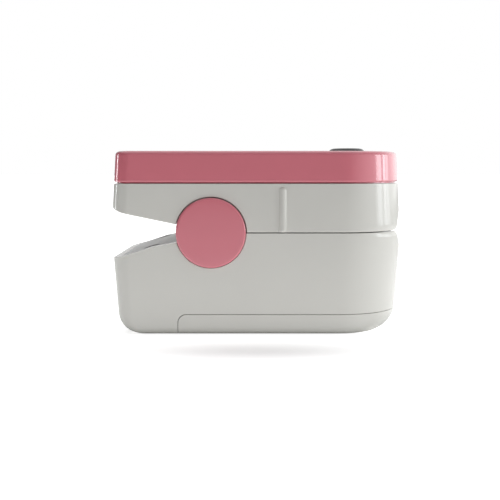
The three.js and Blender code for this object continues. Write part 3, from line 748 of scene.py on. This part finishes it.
def upper_housing():
    rings = [UPPER.ring(z, inset) for inset, z in rounding(0.12, SEAM_Z - SEAM, -1)]
    rings.append(UPPER.ring(27.4))
    edge = [(0, h) for h in (2.1, 1.75, 1.4, 1.1, 0.85, 0.65, 0.48, 0.34, 0.22)]
    edge += rounding(0.2, 0, 1)[::-1]
    rings += [UPPER.ring(UNDER_UPPER, inset, h) for inset, h in edge]
    shell = loft(rings, ends="strips")
    # The hollow steps over a solid block at the hinge, from start to end.
    start, end, floor = -17.2, -4.2, PARTING_Z + 1.45
    hollow = prism_y([
        (-30, 26.6), (-27.4, 25.6), (-25.7, 25.15), (start, 23.35), (start, 24.9), (end, 24.9),
        (end, floor), (30, floor), (30, 31), (-30, 31)], -PAST, PAST)
    hollow = meet(hollow, UPPER.block([19, 24, 31], WALL))
    kept = [channel(PAD_SEAT + 0.9, 1, CHANNEL_START - 1, 32)]
    kept += hinge_rods(NOTCH_RADIUS + 0.5, 12.9, KNUCKLE[1])
    kept += [rod(upright(x, y), 2.6, head - 1, 28) for x, y, head in COVER_SCREWS]
    shell = cut(shell, cut(hollow, *kept))
    shell = join(shell, *both(rib))
    outer, leg_end = SPRING["outer"], HINGE_X - SPRING["leg"] - 0.6
    shell = cut(
        shell, channel_mouth(UPPER, 1),
        rod(on_hinge(1), POCKET_RADIUS, -POCKET_REACH, POCKET_REACH, 64),
        box(HINGE_X - POCKET_RADIUS - 0.3, HINGE_X + POCKET_RADIUS, -POCKET_REACH, POCKET_REACH,
            19, PARTING_Z + 1.6),
        *notch(NOTCH_RADIUS, (PARTING_Z, 30), UPPER, KNUCKLE[1]),
        *side_boxes(leg_end, HINGE_X, outer - 0.8, outer + 0.8,
                    18, PARTING_Z + SPRING["radius"] + 0.8),
        sensor_hole(0.08, 23, 27), box(-8, -6.9, -3, 3, 22, 26))
    knuckles = hinge_rods(KNUCKLE_RADIUS, *KNUCKLE)
    knuckles += side_boxes(HINGE_X - KNUCKLE_RADIUS, HINGE_X + KNUCKLE_RADIUS, *KNUCKLE,
                           PARTING_Z, 25)
    shell = join(shell, *knuckles)
    wells = [rod(upright(x, y), 1.8, 19, head + 1.1) for x, y, head in COVER_SCREWS]
    holes = [rod(upright(x, y), 1.0, head, 30, 24) for x, y, head in COVER_SCREWS]
    return cut(shell, rod(on_hinge(1), PIN_BORE, -PAST, PAST), *wells, *holes)


def pad(direction, x0, x1):
    """The silicone liner: a half-oval trough, rounded at both ends."""
    step, flange = 0.38, 0.15
    ends = [(step * (1 - cos(a)), 1 - sin(a)) for a in sweep(pi / 2, 4)]
    stations = [(x0 + inset, pinch) for inset, pinch in ends]
    stations += [(x, 0) for x in np.linspace(x0 + 1, x1 - 1, 10)]
    stations += [(x1 - inset, pinch) for inset, pinch in ends[::-1]]
    rings = []
    for x, pinch in stations:
        ring = []
        for grow, order in ((PAD - step * pinch, 1), (step * pinch, -1)):
            height = (CHANNEL_ABOVE if direction > 0 else CHANNEL_BELOW) + grow
            width = CHANNEL_WIDTH + grow
            lowest = asin(min(flange / height, 1))
            squeezed = [lowest + (pi - 2 * lowest) * a / pi
                        for a in sweep(pi, 40)[::order]]
            ring += [(x, width * cos(a), PARTING_Z + direction * height * sin(a))
                     for a in squeezed]
        rings.append(ring)
    return loft(rings)


def upper_pad():
    return cut(pad(1, CHANNEL_START + 1.8, 27.2), sensor_hole(0.06, 23, 27))


def lower_pad():
    """The lower liner, with the stop that a fingertip rests against."""
    start, end = CHANNEL_START + 0.3, CHANNEL_START + 1.5
    liner = pad(-1, start, 27.3)
    below = CHANNEL_BELOW + 0.5
    rings = []
    for inset, x in rounding(0.35, start, 1, 4) + rounding(0.35, end, -1, 4)[::-1]:
        width, top, r = CHANNEL_WIDTH + 0.4 - inset, 23.2 - inset, 2.6 - inset
        outline = arc(width - r - 0.3, top - r, r, 0, 90, 8)
        outline += arc(-width + r + 0.3, top - r, r, 90, 180, 8)
        for a in sweep(pi, 20):
            y = (CHANNEL_WIDTH - inset) * cos(pi + a)
            z = PARTING_Z + (below - inset) * sin(pi + a)
            outline.append((y * (CHANNEL_WIDTH + 0.5) / CHANNEL_WIDTH, z))
        rings.append([(x, y, z) for y, z in outline])
    return cut(join(liner, loft(rings)), sensor_hole(0.06, 13, 18))


def hinge_cap(side):
    """A disc with a slightly domed face, on a stub over the pin's end."""
    inner, edge, stub, dome = 15.8, 0.42, (1.6, 15.3), 0.06
    profile = [(0, stub[1]), stub, (stub[0], inner), (CAP_RADIUS - 0.15, inner),
               (CAP_RADIUS, inner + 0.15)]
    rim = rounding(edge, CAP_FACE - dome, -1, 6)[::-1]
    profile += [(CAP_RADIUS - inset, h) for inset, h in rim]
    profile += [(r, CAP_FACE - dome * (r / 6.4) ** 2) for r in (5.6, 4.4, 3, 1.5)]
    return spin(profile + [(0, CAP_FACE)], on_hinge(side), 128)


def power_button():
    """A round key with a dished top, over a flange and a stem."""
    top, across, down = BUTTON_TOP, 1.3, 0.8  # an elliptical edge
    profile = [(0, 33.1), (1.5, 33.1), (1.5, 33.9), (4.6, 33.9), (4.6, 34.5), (BUTTON_RADIUS, 34.5)]
    profile += [(BUTTON_RADIUS - across * (1 - cos(a)), top - down * (1 - sin(a)))
                for a in sweep(pi / 2, 8)]
    profile += [(2.2, top - 0.03), (1.8, top - 0.08), (1.0, top - 0.13), (0, top - 0.15)]
    return spin(profile, upright(BUTTON_X, 0), 96)


def display_window():
    top, bottom = TOP_Z - 0.05, TOP_Z - WINDOW_DEPTH + 0.1
    stations = rounding(0.08, bottom, 1, 2) + rounding(0.3, top, -1, 5)[::-1]
    return stack(lambda inset: window_plan(-0.1 - inset, 12), stations)


# ---------- Lower jaw ----------
def door_region(shrink):
    """What the battery door takes of the lower half."""
    x, z, r = DOOR_X + shrink, DOOR_Z - shrink, 1.7
    outline = arc(x + r, z - r, r, 90, 180, 12) + [(x, -2), (34, -2), (34, z)]
    return prism_y(outline, -PAST, PAST)


def rim_ring(top, inset, h):
    """One ring of the lower housing's rounded rim, which is wider beside the pinch gap."""
    def radius(x):
        return float(np.interp(x, (-28.6, -26.4, -14.6, -12.6), (0.3, TAIL_RIM, TAIL_RIM, 0.34)))

    def drop(x):
        return top(x) - h * radius(x)
    return [LOWER.place(px, py, drop(px), inset * radius(px)) for px, py in plan(0.0)]


def lower_housing():
    top = OVER_LOWER
    rings = [LOWER.ring(BAY_ROOF[1], WALL), LOWER.ring(top, WALL, -0.15),
             LOWER.ring(top, WALL - 0.15)]
    rings += [rim_ring(top, inset, h) for inset, h in rounding(1.0, 0, 1, 8)]
    rings += [LOWER.ring(top, lift=-h) for h in (1.1, 1.4)]
    rings += [LOWER.ring(z) for z in [13, 4.6, 4.05, 3.5] + BASE_LEVELS[::-1]]
    shell = loft(rings, ends="strips")
    bay = LOWER.block([1.4, 3, 6, BAY_ROOF[0]], WALL)
    shell = cut(shell, bay, door_region(-0.05))
    end, wall_top = -25.8, 12.9
    walls = side_boxes(end, 25, 11.3, 12.3, 1.7, wall_top, 0.15)
    walls += side_boxes(end, DOOR_X - 0.5, 11.3, 12.3, 1.2, 2)
    walls += side_boxes(-14, 24.5, 12.2, 13.3, 1.7, 2.3, 0.1)
    walls += [box(end, -24.9, -12.3, 12.3, 1.2, wall_top),
              box(25.3, 28, -10, 10, DOOR_Z + 0.15, wall_top)]
    room = join(LOWER.block([DOOR_Z + 0.15, 6, 20], 0.8),
                LOWER.block([0.01, DOOR_Z + 1], WALL + 0.3))
    bosses = [rod(upright(x, y), 2.2, 13.5, head - 1.3) for x, y, head in HOUSING_SCREWS]
    low, high = EAR
    ear = [(0, low), (6.7, low), (6.9, low + 0.2), (6.9, high - 0.2), (6.7, high), (0, high)]
    ears = both(lambda side: spin(ear, on_hinge(side), 128))
    shell = join(shell, meet(join(*walls), room), *bosses, *ears)
    holes = [rod(upright(x, y), 0.95, 12.9, head, 24) for x, y, head in HOUSING_SCREWS]
    return cut(shell, *notch(CAP_RADIUS + 0.07, (0, PARTING_Z), LOWER, EAR[1], 0.14),
               rod(on_hinge(1), PIN_BORE, -PAST, PAST), channel_mouth(LOWER, -1), *holes)


def battery_door():
    """The sliding door, with a rail on each side and three grip grooves below."""
    edge = rounding(0.13, DOOR_Z - 0.05, -1)[::-1]
    rings = [LOWER.ring(z) for z in BASE_LEVELS + [DOOR_Z - 0.2]]
    rings += [LOWER.ring(z, inset) for inset, z in edge[1:]]
    shell = meet(loft(rings, ends="strips"), door_region(0.05))
    shell = cut(shell, LOWER.block([1.4, 2.5, 6], WALL))
    rails = side_boxes(-12, 19, 13.6, 14.4, 1.2, 3.3, 0.1)
    rails += side_boxes(-12, 19, 12.6, 13.7, 2.6, 3.3, 0.1)
    grips = []
    for x in (17.5, 19.5, 21.5):
        outline = rounded_plan(x, x + 0.8, -6, 6, 0.39, 8)
        rings = []
        for z, grow in ((0.4, -0.25), (0.3, 0), (0.08, 0.1), (0, 0.5), (-1, 0.5)):
            rings.append([(px + (px - x - 0.4) * grow, py + py / 6 * 0.2 * grow, z)
                          for px, py in outline])
        grips.append(loft(rings))
    return cut(join(shell, *rails), *grips)


def lower_inner_cover():
    fit, below = WALL + 0.12, 0.02
    edge = [(0, h) for h in (1.4, 1.05, 0.8, 0.6, 0.45)] + rounding(0.25, 0, 1, 4)[::-1]
    rings = [LOWER.ring(z, fit) for z in (14.0, 14.5)]
    rings += [LOWER.ring(OVER_LOWER, fit + inset, -below - h) for inset, h in edge]
    body = loft(rings, ends="strips")
    # The hollow steps down under the hinge, from start to end.
    start, end, ceiling = -17, -4.9, PARTING_Z - 1.35
    hollow = prism_y([
        (-30, 13), (-30, 13.4), (-26.4, 14.1), (-21.2, 15.85), (start, 16.7), (start, 14.1),
        (end, 14.1), (end, ceiling), (30, ceiling), (30, 13)], -PAST, PAST)
    hollow = meet(hollow, LOWER.block([12.9, 16, 20.5], fit + 1))
    kept = [channel(PAD_SEAT + 0.9, -1, CHANNEL_START - 1, 32)]
    kept += [rod(upright(x, y), 2.5, head - 1, 21) for x, y, head in HOUSING_SCREWS]
    body = cut(body, cut(hollow, *kept))
    inner, leg_end = SPRING["inner"], HINGE_X - SPRING["leg"] - 0.6
    body = cut(
        body, channel_mouth(LOWER, -1), sensor_hole(0.08, 13, 18),
        rod(on_hinge(1), POCKET_RADIUS, -POCKET_REACH, POCKET_REACH, 64),
        # This one lets the upper jaw's tail come down.
        box(-13.6, -12.9, -POCKET_REACH, POCKET_REACH, 18.95, 21),
        *hinge_rods(KNUCKLE_RADIUS + 0.3, 11.25, 14.1),
        *hinge_rods(NOTCH_RADIUS, 13.9, 18, 128),
        *side_boxes(leg_end, HINGE_X, inner - 0.9, inner + 0.9,
                    PARTING_Z - SPRING["radius"] - 0.8, 22),
        box(-8, -6.9, -3, 3, 13, 22), box(-8, -4.5, -3, 3, 13, 15))
    for x, y, head in HOUSING_SCREWS:
        place = upright(x, y)
        body = cut(body, rod(place, 2.5, 12, head - 1, 32), rod(place, 1.0, 12, head + 1, 24),
                   rod(place, 1.8, head, 22))
    return body


# ---------- Hinge, cells and other inner pieces ----------
def hinge_pin():
    """A steel pin with bevelled, slightly domed ends and a groove near each."""
    half, r = EAR[1] + 0.4, PIN_RADIUS
    end = [(0, half), (r * 0.5, half - 0.03), (r - 0.3, half - 0.1), (r - 0.08, half - 0.22),
           (r, half - 0.4)]
    end += [(r, half - 1.0), (r - 0.12, half - 1.1), (r - 0.12, half - 1.3), (r, half - 1.4)]
    return spin([(radius, -h) for radius, h in end] + end[::-1], on_hinge(1), 48)


def torsion_spring(side):
    """Coils round the pin, with a leg that presses on each jaw."""
    inner, outer, radius, leg = (SPRING[key] for key in ("inner", "outer", "radius", "leg"))
    points = [(-leg + leg * i / 8, inner, -radius) for i in range(8)]
    for i in range(241):
        a = -pi / 2 + 2 * pi * SPRING["turns"] * i / 240
        along = inner + (outer - inner) * i / 240
        points.append((radius * cos(a), along, radius * sin(a)))
    points += [(-leg * i / 8, outer, radius) for i in range(1, 9)]
    return tube([(HINGE_X + x, side * y, HINGE_Z + z) for x, y, z in points],
                SPRING["wire"] * 0.97, 12)


def smooth_path(points, count):
    """A Catmull-Rom curve through points in X and Z, as count + 1 even samples."""
    p = np.array([points[0]] + list(points) + [points[-1]], float)
    fine = []
    for before, a, b, after in zip(p, p[1:], p[2:], p[3:]):
        for t in np.linspace(0, 1, 24, endpoint=False):
            fine.append(0.5 * (2 * a + (b - before) * t
                               + (2 * before - 5 * a + 4 * b - after) * t ** 2
                               + (3 * a - before - 3 * b + after) * t ** 3))
    fine = np.array(fine + [p[-2]])
    length = np.concatenate([[0], np.cumsum(np.linalg.norm(np.diff(fine, axis=0), axis=1))])
    even = np.linspace(0, length[-1], count + 1)
    return np.stack([np.interp(even, length, fine[:, k]) for k in (0, 1)], axis=1)


def flat_cable():
    """A flat ribbon along a path in X and Z, its edges rounded and its tracks slightly raised."""
    path = smooth_path([(4.6, 14.3), (-0.8, 14.3), (-6.2, 14.3), (-7.1, 14.7), (-7.4, 15.6),
                        (-7.4, 20.9), (-7.4, 26.2), (-7.2, 27.1), (-6.4, 27.4)], 90)
    thickness, width, tracks = 0.22, 5.0, 6
    tangents = np.gradient(path, axis=0)
    tangents /= np.linalg.norm(tangents, axis=1)[:, None]
    half, pitch = width / 2, width / tracks * 0.28
    # Pairs of Y and height above the middle, in thicknesses, over the upper face.
    across = [(-half, 0.0), (-half + thickness * 0.2, 0.35), (-half + thickness * 0.5, 0.5)]
    for i in range(tracks):
        y = -half + (i + 0.5) * width / tracks
        across += [(y - pitch, 0.5), (y - pitch * 0.7, 0.62), (y + pitch * 0.7, 0.62),
                   (y + pitch, 0.5)]
    across += [(half - thickness * 0.5, 0.5), (half - thickness * 0.2, 0.35), (half, 0.0)]
    section = across + [(y, -min(h, 0.5)) for y, h in across[-2:0:-1]]
    rings = []
    for (x, z), (tx, tz) in zip(path, tangents):
        rings.append([(x - tz * thickness * h, y, z + tx * thickness * h) for y, h in section])
    return loft(rings)


def cell_place(index):
    """The first cell's nub points to the mouth, the second one's to the tail."""
    if index == 1:
        return along_x(CELL_Y, CELL_Z, 1, CELL_START)
    return along_x(-CELL_Y, CELL_Z, -1, CELL_START + CELL_LENGTH)


def cell_sleeve(index):
    """The printed sleeve, drawn over both rims of the can."""
    r, length = CELL_RADIUS, CELL_LENGTH - 1.1
    profile = [(r - 0.95, 0.12), (r - 0.8, 0.02), (r - 0.5, 0.0), (r - 0.22, 0.1),
               (r - 0.06, 0.3), (r, 0.6), (r, 2.0), (r - 0.05, 2.3), (r - 0.05, 2.6), (r, 2.9)]
    profile += [(r, h) for h in np.linspace(5, length - 5, 8)]
    profile += [(r, length - 2.9), (r - 0.18, length - 2.5), (r - 0.18, length - 2.2),
                (r, length - 1.8), (r, length - 0.8), (r - 0.12, length - 0.45),
                (r - 0.4, length - 0.25), (r - 0.8, length - 0.25), (r - 0.95, length - 0.4)]
    inner = [(r - 1.1, length - 0.6), (r - 1.1, 0.4)]
    return spin(profile + inner, cell_place(index), 72, wrap=True)


def cell_ends(index):
    """The can's metal: a dished negative end, and the nub on the positive one."""
    inside, length, nub = CELL_RADIUS - 0.98, CELL_LENGTH, 1.9
    profile = [(0, 0.12), (2.2, 0.12), (2.6, 0.02), (3.4, 0.02), (3.8, 0.16), (inside, 0.2),
               (inside, length - 1.5), (3.4, length - 1.5), (3.0, length - 1.35),
               (nub + 0.35, length - 1.3), (nub + 0.08, length - 1.15), (nub, length - 0.9),
               (nub, length - 0.3), (nub - 0.08, length - 0.1), (nub - 0.3, length), (0, length)]
    return spin(profile, cell_place(index), 72)


def contact_plate(x, toward, half_width, centre_y, dimples, coils):
    """Sprung contact: a thin plate with rounded corners, dimples and conical coils."""
    half_height, thickness, edge = 3.4, 0.4, 0.1
    outline = rounded_plan(centre_y - half_width, centre_y + half_width, CELL_Z - half_height,
                           CELL_Z + half_height, 1.0, 6)
    stations = rounding(edge, 0, 1, 2) + rounding(edge, thickness, -1, 2)[::-1]
    rings = []
    for inset, h in stations:
        rings.append([(x + h, y + copysign(inset, centre_y - y),
                       z + copysign(inset, CELL_Z - z)) for y, z in outline])
    plate = loft(rings)
    face = x if toward < 0 else x + thickness
    dimple = [(0, -0.15), (2.5, -0.15), (2.35, 0.1), (2.0, 0.3), (1.7, 0.7), (1.5, 1.2),
              (1.3, 1.5), (0.9, 1.68), (0, 1.7)]
    for y in dimples:
        plate = join(plate, spin(dimple, along_x(y, CELL_Z, toward, face), 40))
    for y in coils:
        points = []
        for i in range(121):
            t = i / 120
            a, r = t * 3 * 2 * pi, 3 - 1.4 * t
            points.append((face + toward * (1.6 * t - 0.05), y + r * cos(a),
                           CELL_Z + r * sin(a)))
        plate = join(plate, tube(points, 0.28, 10))
    return plate


def screw(x, y, seat, length, up):
    """Pan-head self-tapping screw with a cross recess. up is 1 with the head on top, or -1."""
    thread = [(0, -length), (0.25, -length + 0.25), (0.72, -length + 1.1)]
    h = -length + 1.2
    while h < -0.5:
        thread += [(0.66, h), (0.8, h + 0.14), (0.8, h + 0.2), (0.66, h + 0.34)]
        h += 0.5
    head = [(0.7, -0.02), (1.42, 0), (1.5, 0.06), (1.5, 0.4), (1.42, 0.66), (1.2, 0.86),
            (0.85, 0.97), (0.4, 1.0), (0, 1.0)]
    body = spin(thread + head, lambda u, v, h: (x + u, y + up * v, seat + up * h), 32)
    low, high = sorted((seat + up * 0.45, seat + up * 1.2))
    for a, b in ((0.78, 0.17), (0.17, 0.78)):
        body = cut(body, box(x - a, x + a, y - b, y + b, low, high))
    return body


def sensor_lens(z0, z1, outward):
    """Clear cover over the sensor: a plate with rounded corners and a crowned face."""
    stations = rounding(0.12, z0, 1, 3) + rounding(0.35, z1, -1, 5)[::-1]
    lens = stack(lambda inset: sensor_plan(-inset, 0.7), stations)
    middle = (z0 + z1) / 2
    for v in lens.data.vertices:
        reach = max(abs(v.co.x - SENSOR_X) / SENSOR_HALF[0], abs(v.co.y) / SENSOR_HALF[1])
        if (v.co.z - middle) * outward > 0:
            v.co.z -= outward * 0.12 * reach ** 2
    return lens


# ---------- The pieces ----------
SIDES = ((1, "left"), (-1, "right"))
present(top_cover(), "pink_top_cover", "upper_jaw", "pink_plastic", "top_cover", UPPER)
present(upper_housing(), "white_upper_housing", "upper_jaw", "white_plastic", "upper_housing",
        UPPER)
present(upper_pad(), "upper_finger_pad", "upper_jaw", "grey_silicone", "upper_pad", angle=50)
present(display_window(), "smoked_display_window", "upper_jaw", "dark_window", "display_window")
present(power_button(), "power_key", "power_button", "black_plastic", "power_button")
present(lower_housing(), "white_lower_housing", "base", "white_plastic", "lower_housing", LOWER)
present(battery_door(), "battery_door_panel", "battery_door", "white_plastic", "battery_door",
        LOWER)
present(lower_inner_cover(), "inner_cover", "base", "white_plastic", "lower_inner_cover",
        material=INNER_WHITE_PAINTED_LIGHT)
present(lower_pad(), "lower_finger_pad", "base", "grey_silicone", "lower_pad", angle=50)
for side, name in SIDES:
    present(hinge_cap(side), f"pink_hinge_cap_{name}", "base", "pink_plastic", f"hinge_cap_{name}")
present(hinge_pin(), "hinge_pin_steel", "base", "steel", "hinge_pin")
for side, name in SIDES:
    spring_ends = [(0, side * SPRING[key] * MM, 0) for key in ("inner", "outer")]
    present(torsion_spring(side), f"coil_spring_{name}", "base", "spring_steel",
            f"torsion_spring_{name}", angle=60, blend=("base", "upper_jaw", *spring_ends))
present(flat_cable(), "flat_cable", "base", "amber_film", "flex_cable", angle=60,
        blend=("base", "upper_jaw", (0, 0, 15.6 * MM), (0, 0, 26.2 * MM)))
for index in (1, 2):
    present(cell_sleeve(index), f"cell_{index}_sleeve", "base", "cell_sleeve", f"battery_{index}")
    present(cell_ends(index), f"cell_{index}_ends", "base", "steel", f"battery_{index}")
for name, x, toward, half_width, centre_y, dimples, coils in (
        ("positive_contact", 24.5, -1, 3.2, CELL_Y, [CELL_Y], []),
        ("negative_contact", 24.5, -1, 3.2, -CELL_Y, [], [-CELL_Y]),
        ("bridge_contact", -24.5, 1, 9, 0, [-CELL_Y], [CELL_Y])):
    plate = contact_plate(x, toward, half_width, centre_y, dimples, coils)
    present(plate, name + "_spring", "base", "steel", name)
for i, (x, y, head) in enumerate(HOUSING_SCREWS, 1):
    present(screw(x, y, head + 0.1, head - 13.2, 1), f"housing_screw_{i}_cross", "base", "steel",
            f"housing_screw_{i}")
for i, (x, y, head) in enumerate(COVER_SCREWS, 1):
    present(screw(x, y, head + 1.05, 30.5 - head, -1), f"cover_screw_{i}_cross", "upper_jaw",
            "steel", f"cover_screw_{i}")
present(sensor_lens(15.9, 16.9, 1), "lower_sensor_lens", "base", "clear_window",
        "lower_sensor_window")
present(sensor_lens(24.8, 25.7, -1), "upper_sensor_lens", "upper_jaw", "clear_window",
        "upper_sensor_window")

# Every CAD node gets a finish too. Those that no piece replaces are the ones seen.
for part in frame["record"]["subparts"]:
    node = frame["nodes"][part["node"]]
    node.data.materials.clear()
    node.data.materials.append(FINISHES.get(part.get("material_slot"), STEEL))


# ---------- Stage: floor, light and camera ----------
def area_light(name, place, aim, size, power, color=(1, 1, 1)):
    data = bpy.data.lights.new(name, "AREA")
    data.shape = "RECTANGLE"
    data.size, data.size_y = size
    data.energy = power
    data.color = color
    light = linked(name, data)
    light.location = place
    light.rotation_mode = "QUATERNION"
    light.rotation_quaternion = (Vector(aim) - Vector(place)).to_track_quat("-Z", "Y")


# Soft panels, all but the first beyond the finger mouth: degrees round from +X towards the
# camera, width, watts.
SIDE_PANELS = [(-164, 0.022, 0.42), (-12, 0.1, 0.12), (-4, 0.07, 0.18), (9, 0.13, 0.3),
               (16, 0.012, 0.045)]
PANEL_DISTANCE, PANEL_HEIGHT, PANEL_Z = 0.7, 0.2, 0.10
COOL = (0.93, 0.97, 1)


def studio():
    reach, below = 6, -0.00004  # just clear of the object, so that the two don't flicker
    corners = [(-reach, -reach, 0), (reach, -reach, 0), (reach, reach, 0), (-reach, reach, 0)]
    floor = mesh_object(corners, [[0, 1, 2, 3]], "studio_floor")
    floor.location.z = below
    floor.data.materials.append(floor_material())
    studio_world()
    centre = (0, 0, 0.02)
    area_light("top_softbox", (0, 0.05, 0.75), centre, (1.1, 1.1), 2.5)
    for azimuth, width, power in SIDE_PANELS:
        a = radians(azimuth)
        place = (PANEL_DISTANCE * cos(a), -PANEL_DISTANCE * sin(a), PANEL_Z)
        area_light(f"side_panel_{azimuth:+d}", place, centre, (width, PANEL_HEIGHT), power, COOL)


def footprint_distance(tree, place):
    """1 on the edge of the rectangle that the object stands in, less inside it and more outside."""
    half_sizes = (HALF_LENGTH * MM, HALF_WIDTH * MM, 1)
    scaled = vector_node(tree, "DIVIDE", vector_node(tree, "ABSOLUTE", place), half_sizes)
    across = axes(tree, scaled)
    return math_node(tree, "MAXIMUM", across["X"], across["Y"])


def floor_material():
    """White paper, clear from below. Its glow lights the object's lower half and underside from
    close by and leaves a dark line at the edge that the object stands on. To look at, it is plain
    white but for a painted shadow in front of the object: a soft oval that only the camera sees."""
    material, tree, shader = node_material("studio_white")
    where = own_space(tree)
    away = footprint_distance(tree, where)
    near = math_node(tree, "MULTIPLY", spread(tree, away, 1.0, 1.2, 0.0, 0.51),
                     spread(tree, away, 1.5, 9.0, 1.0, 0.0))
    under = spread(tree, away, 0.85, 0.9, 0.22, 0.0)
    # Painted shadow: a soft oval in front of the object where the floor, as the camera sees it, is
    # made darker. No light casts it.
    painted_shadow_centre, painted_shadow_radii = (0.001, -0.0315, 0), (0.03, 0.0098, 1)
    from_painted_shadow = vector_node(tree, "SUBTRACT", where, painted_shadow_centre)
    from_painted_shadow = vector_node(tree, "LENGTH", vector_node(tree, "DIVIDE", from_painted_shadow, painted_shadow_radii))
    white = math_node(tree, "SUBTRACT", spread(tree, away, 1.0, 9.0, 0.7, 1.0), near)
    painted_shadow = spread(tree, from_painted_shadow, 0.0, 1.35, 0.5, 0.0, "SMOOTHSTEP")
    white = math_node(tree, "SUBTRACT", white, painted_shadow)
    looked_at = add_node(tree, "LightPath").outputs["Is Camera Ray"]
    seen = math_node(tree, "MULTIPLY", looked_at, white)
    feed(tree, shader, {
        "Base Color": ramp(tree, noise(tree, 0.004), (0.94, 0.94, 0.94), (0.96, 0.96, 0.96)),
        "Roughness": 0.9,
        "Specular IOR Level": 0.0,
        "Emission Color": (1, 1, 1, 1),
        "Emission Strength": math_node(tree, "ADD", math_node(tree, "ADD", near, under), seen),
    })
    clear = add_node(tree, "BsdfTransparent").outputs["BSDF"]
    from_below = add_node(tree, "NewGeometry").outputs["Backfacing"]
    sides = add_node(tree, "MixShader", {"Fac": from_below, 1: shader.outputs["BSDF"], 2: clear})
    feed(tree, tree.nodes["Material Output"], {"Surface": sides.outputs["Shader"]})
    return material


def studio_world():
    """Plain white to look at. As light it is dim in front and bright behind, as with a lit
    backdrop, with a dark card on the tail's side and a low glow beyond the finger mouth."""
    world = bpy.data.worlds.new("studio")
    bpy.context.scene.world = world
    world.use_nodes = True
    tree = world.node_tree
    toward = axes(tree, add_node(tree, "TexCoord").outputs["Generated"])
    backdrop = spread(tree, toward["Y"], -0.05, 0.7, 0.18, 1.0)
    dark_card = spread(tree, toward["X"], -0.6, -0.05, 0.15, 1.0)
    glow = math_node(tree, "MULTIPLY", spread(tree, toward["X"], 0.35, 1.0, 0.0, 1.1),
                     spread(tree, toward["Z"], 0.1, 0.9, 1.0, 0.4))
    strength = math_node(tree, "ADD", math_node(tree, "MULTIPLY", backdrop, dark_card), glow)
    white = (1, 1, 1, 1)
    light = add_node(tree, "Background", {"Color": white, "Strength": strength})
    back = feed(tree, tree.nodes["Background"], {"Color": white})
    looked_at = add_node(tree, "LightPath").outputs["Is Camera Ray"]
    mix = add_node(tree, "MixShader", {
        "Fac": looked_at, 1: light.outputs["Background"], 2: back.outputs["Background"]})
    feed(tree, tree.nodes["World Output"], {"Surface": mix.outputs["Shader"]})


def camera():
    """Stands in front, a little above the object's middle, and looks slightly down."""
    data = bpy.data.cameras.new("camera")
    data.lens = 59.09
    data.sensor_width = 36
    data.clip_start, data.clip_end = 0.01, 20
    cam = linked("camera", data)
    cam.location = (-0.00192, -0.1765, 0.03227)
    cam.rotation_euler = (radians(90 - 5.498), 0, 0)
    bpy.context.scene.camera = cam


studio()
camera()
bpy.context.scene.view_settings.view_transform = "Standard"
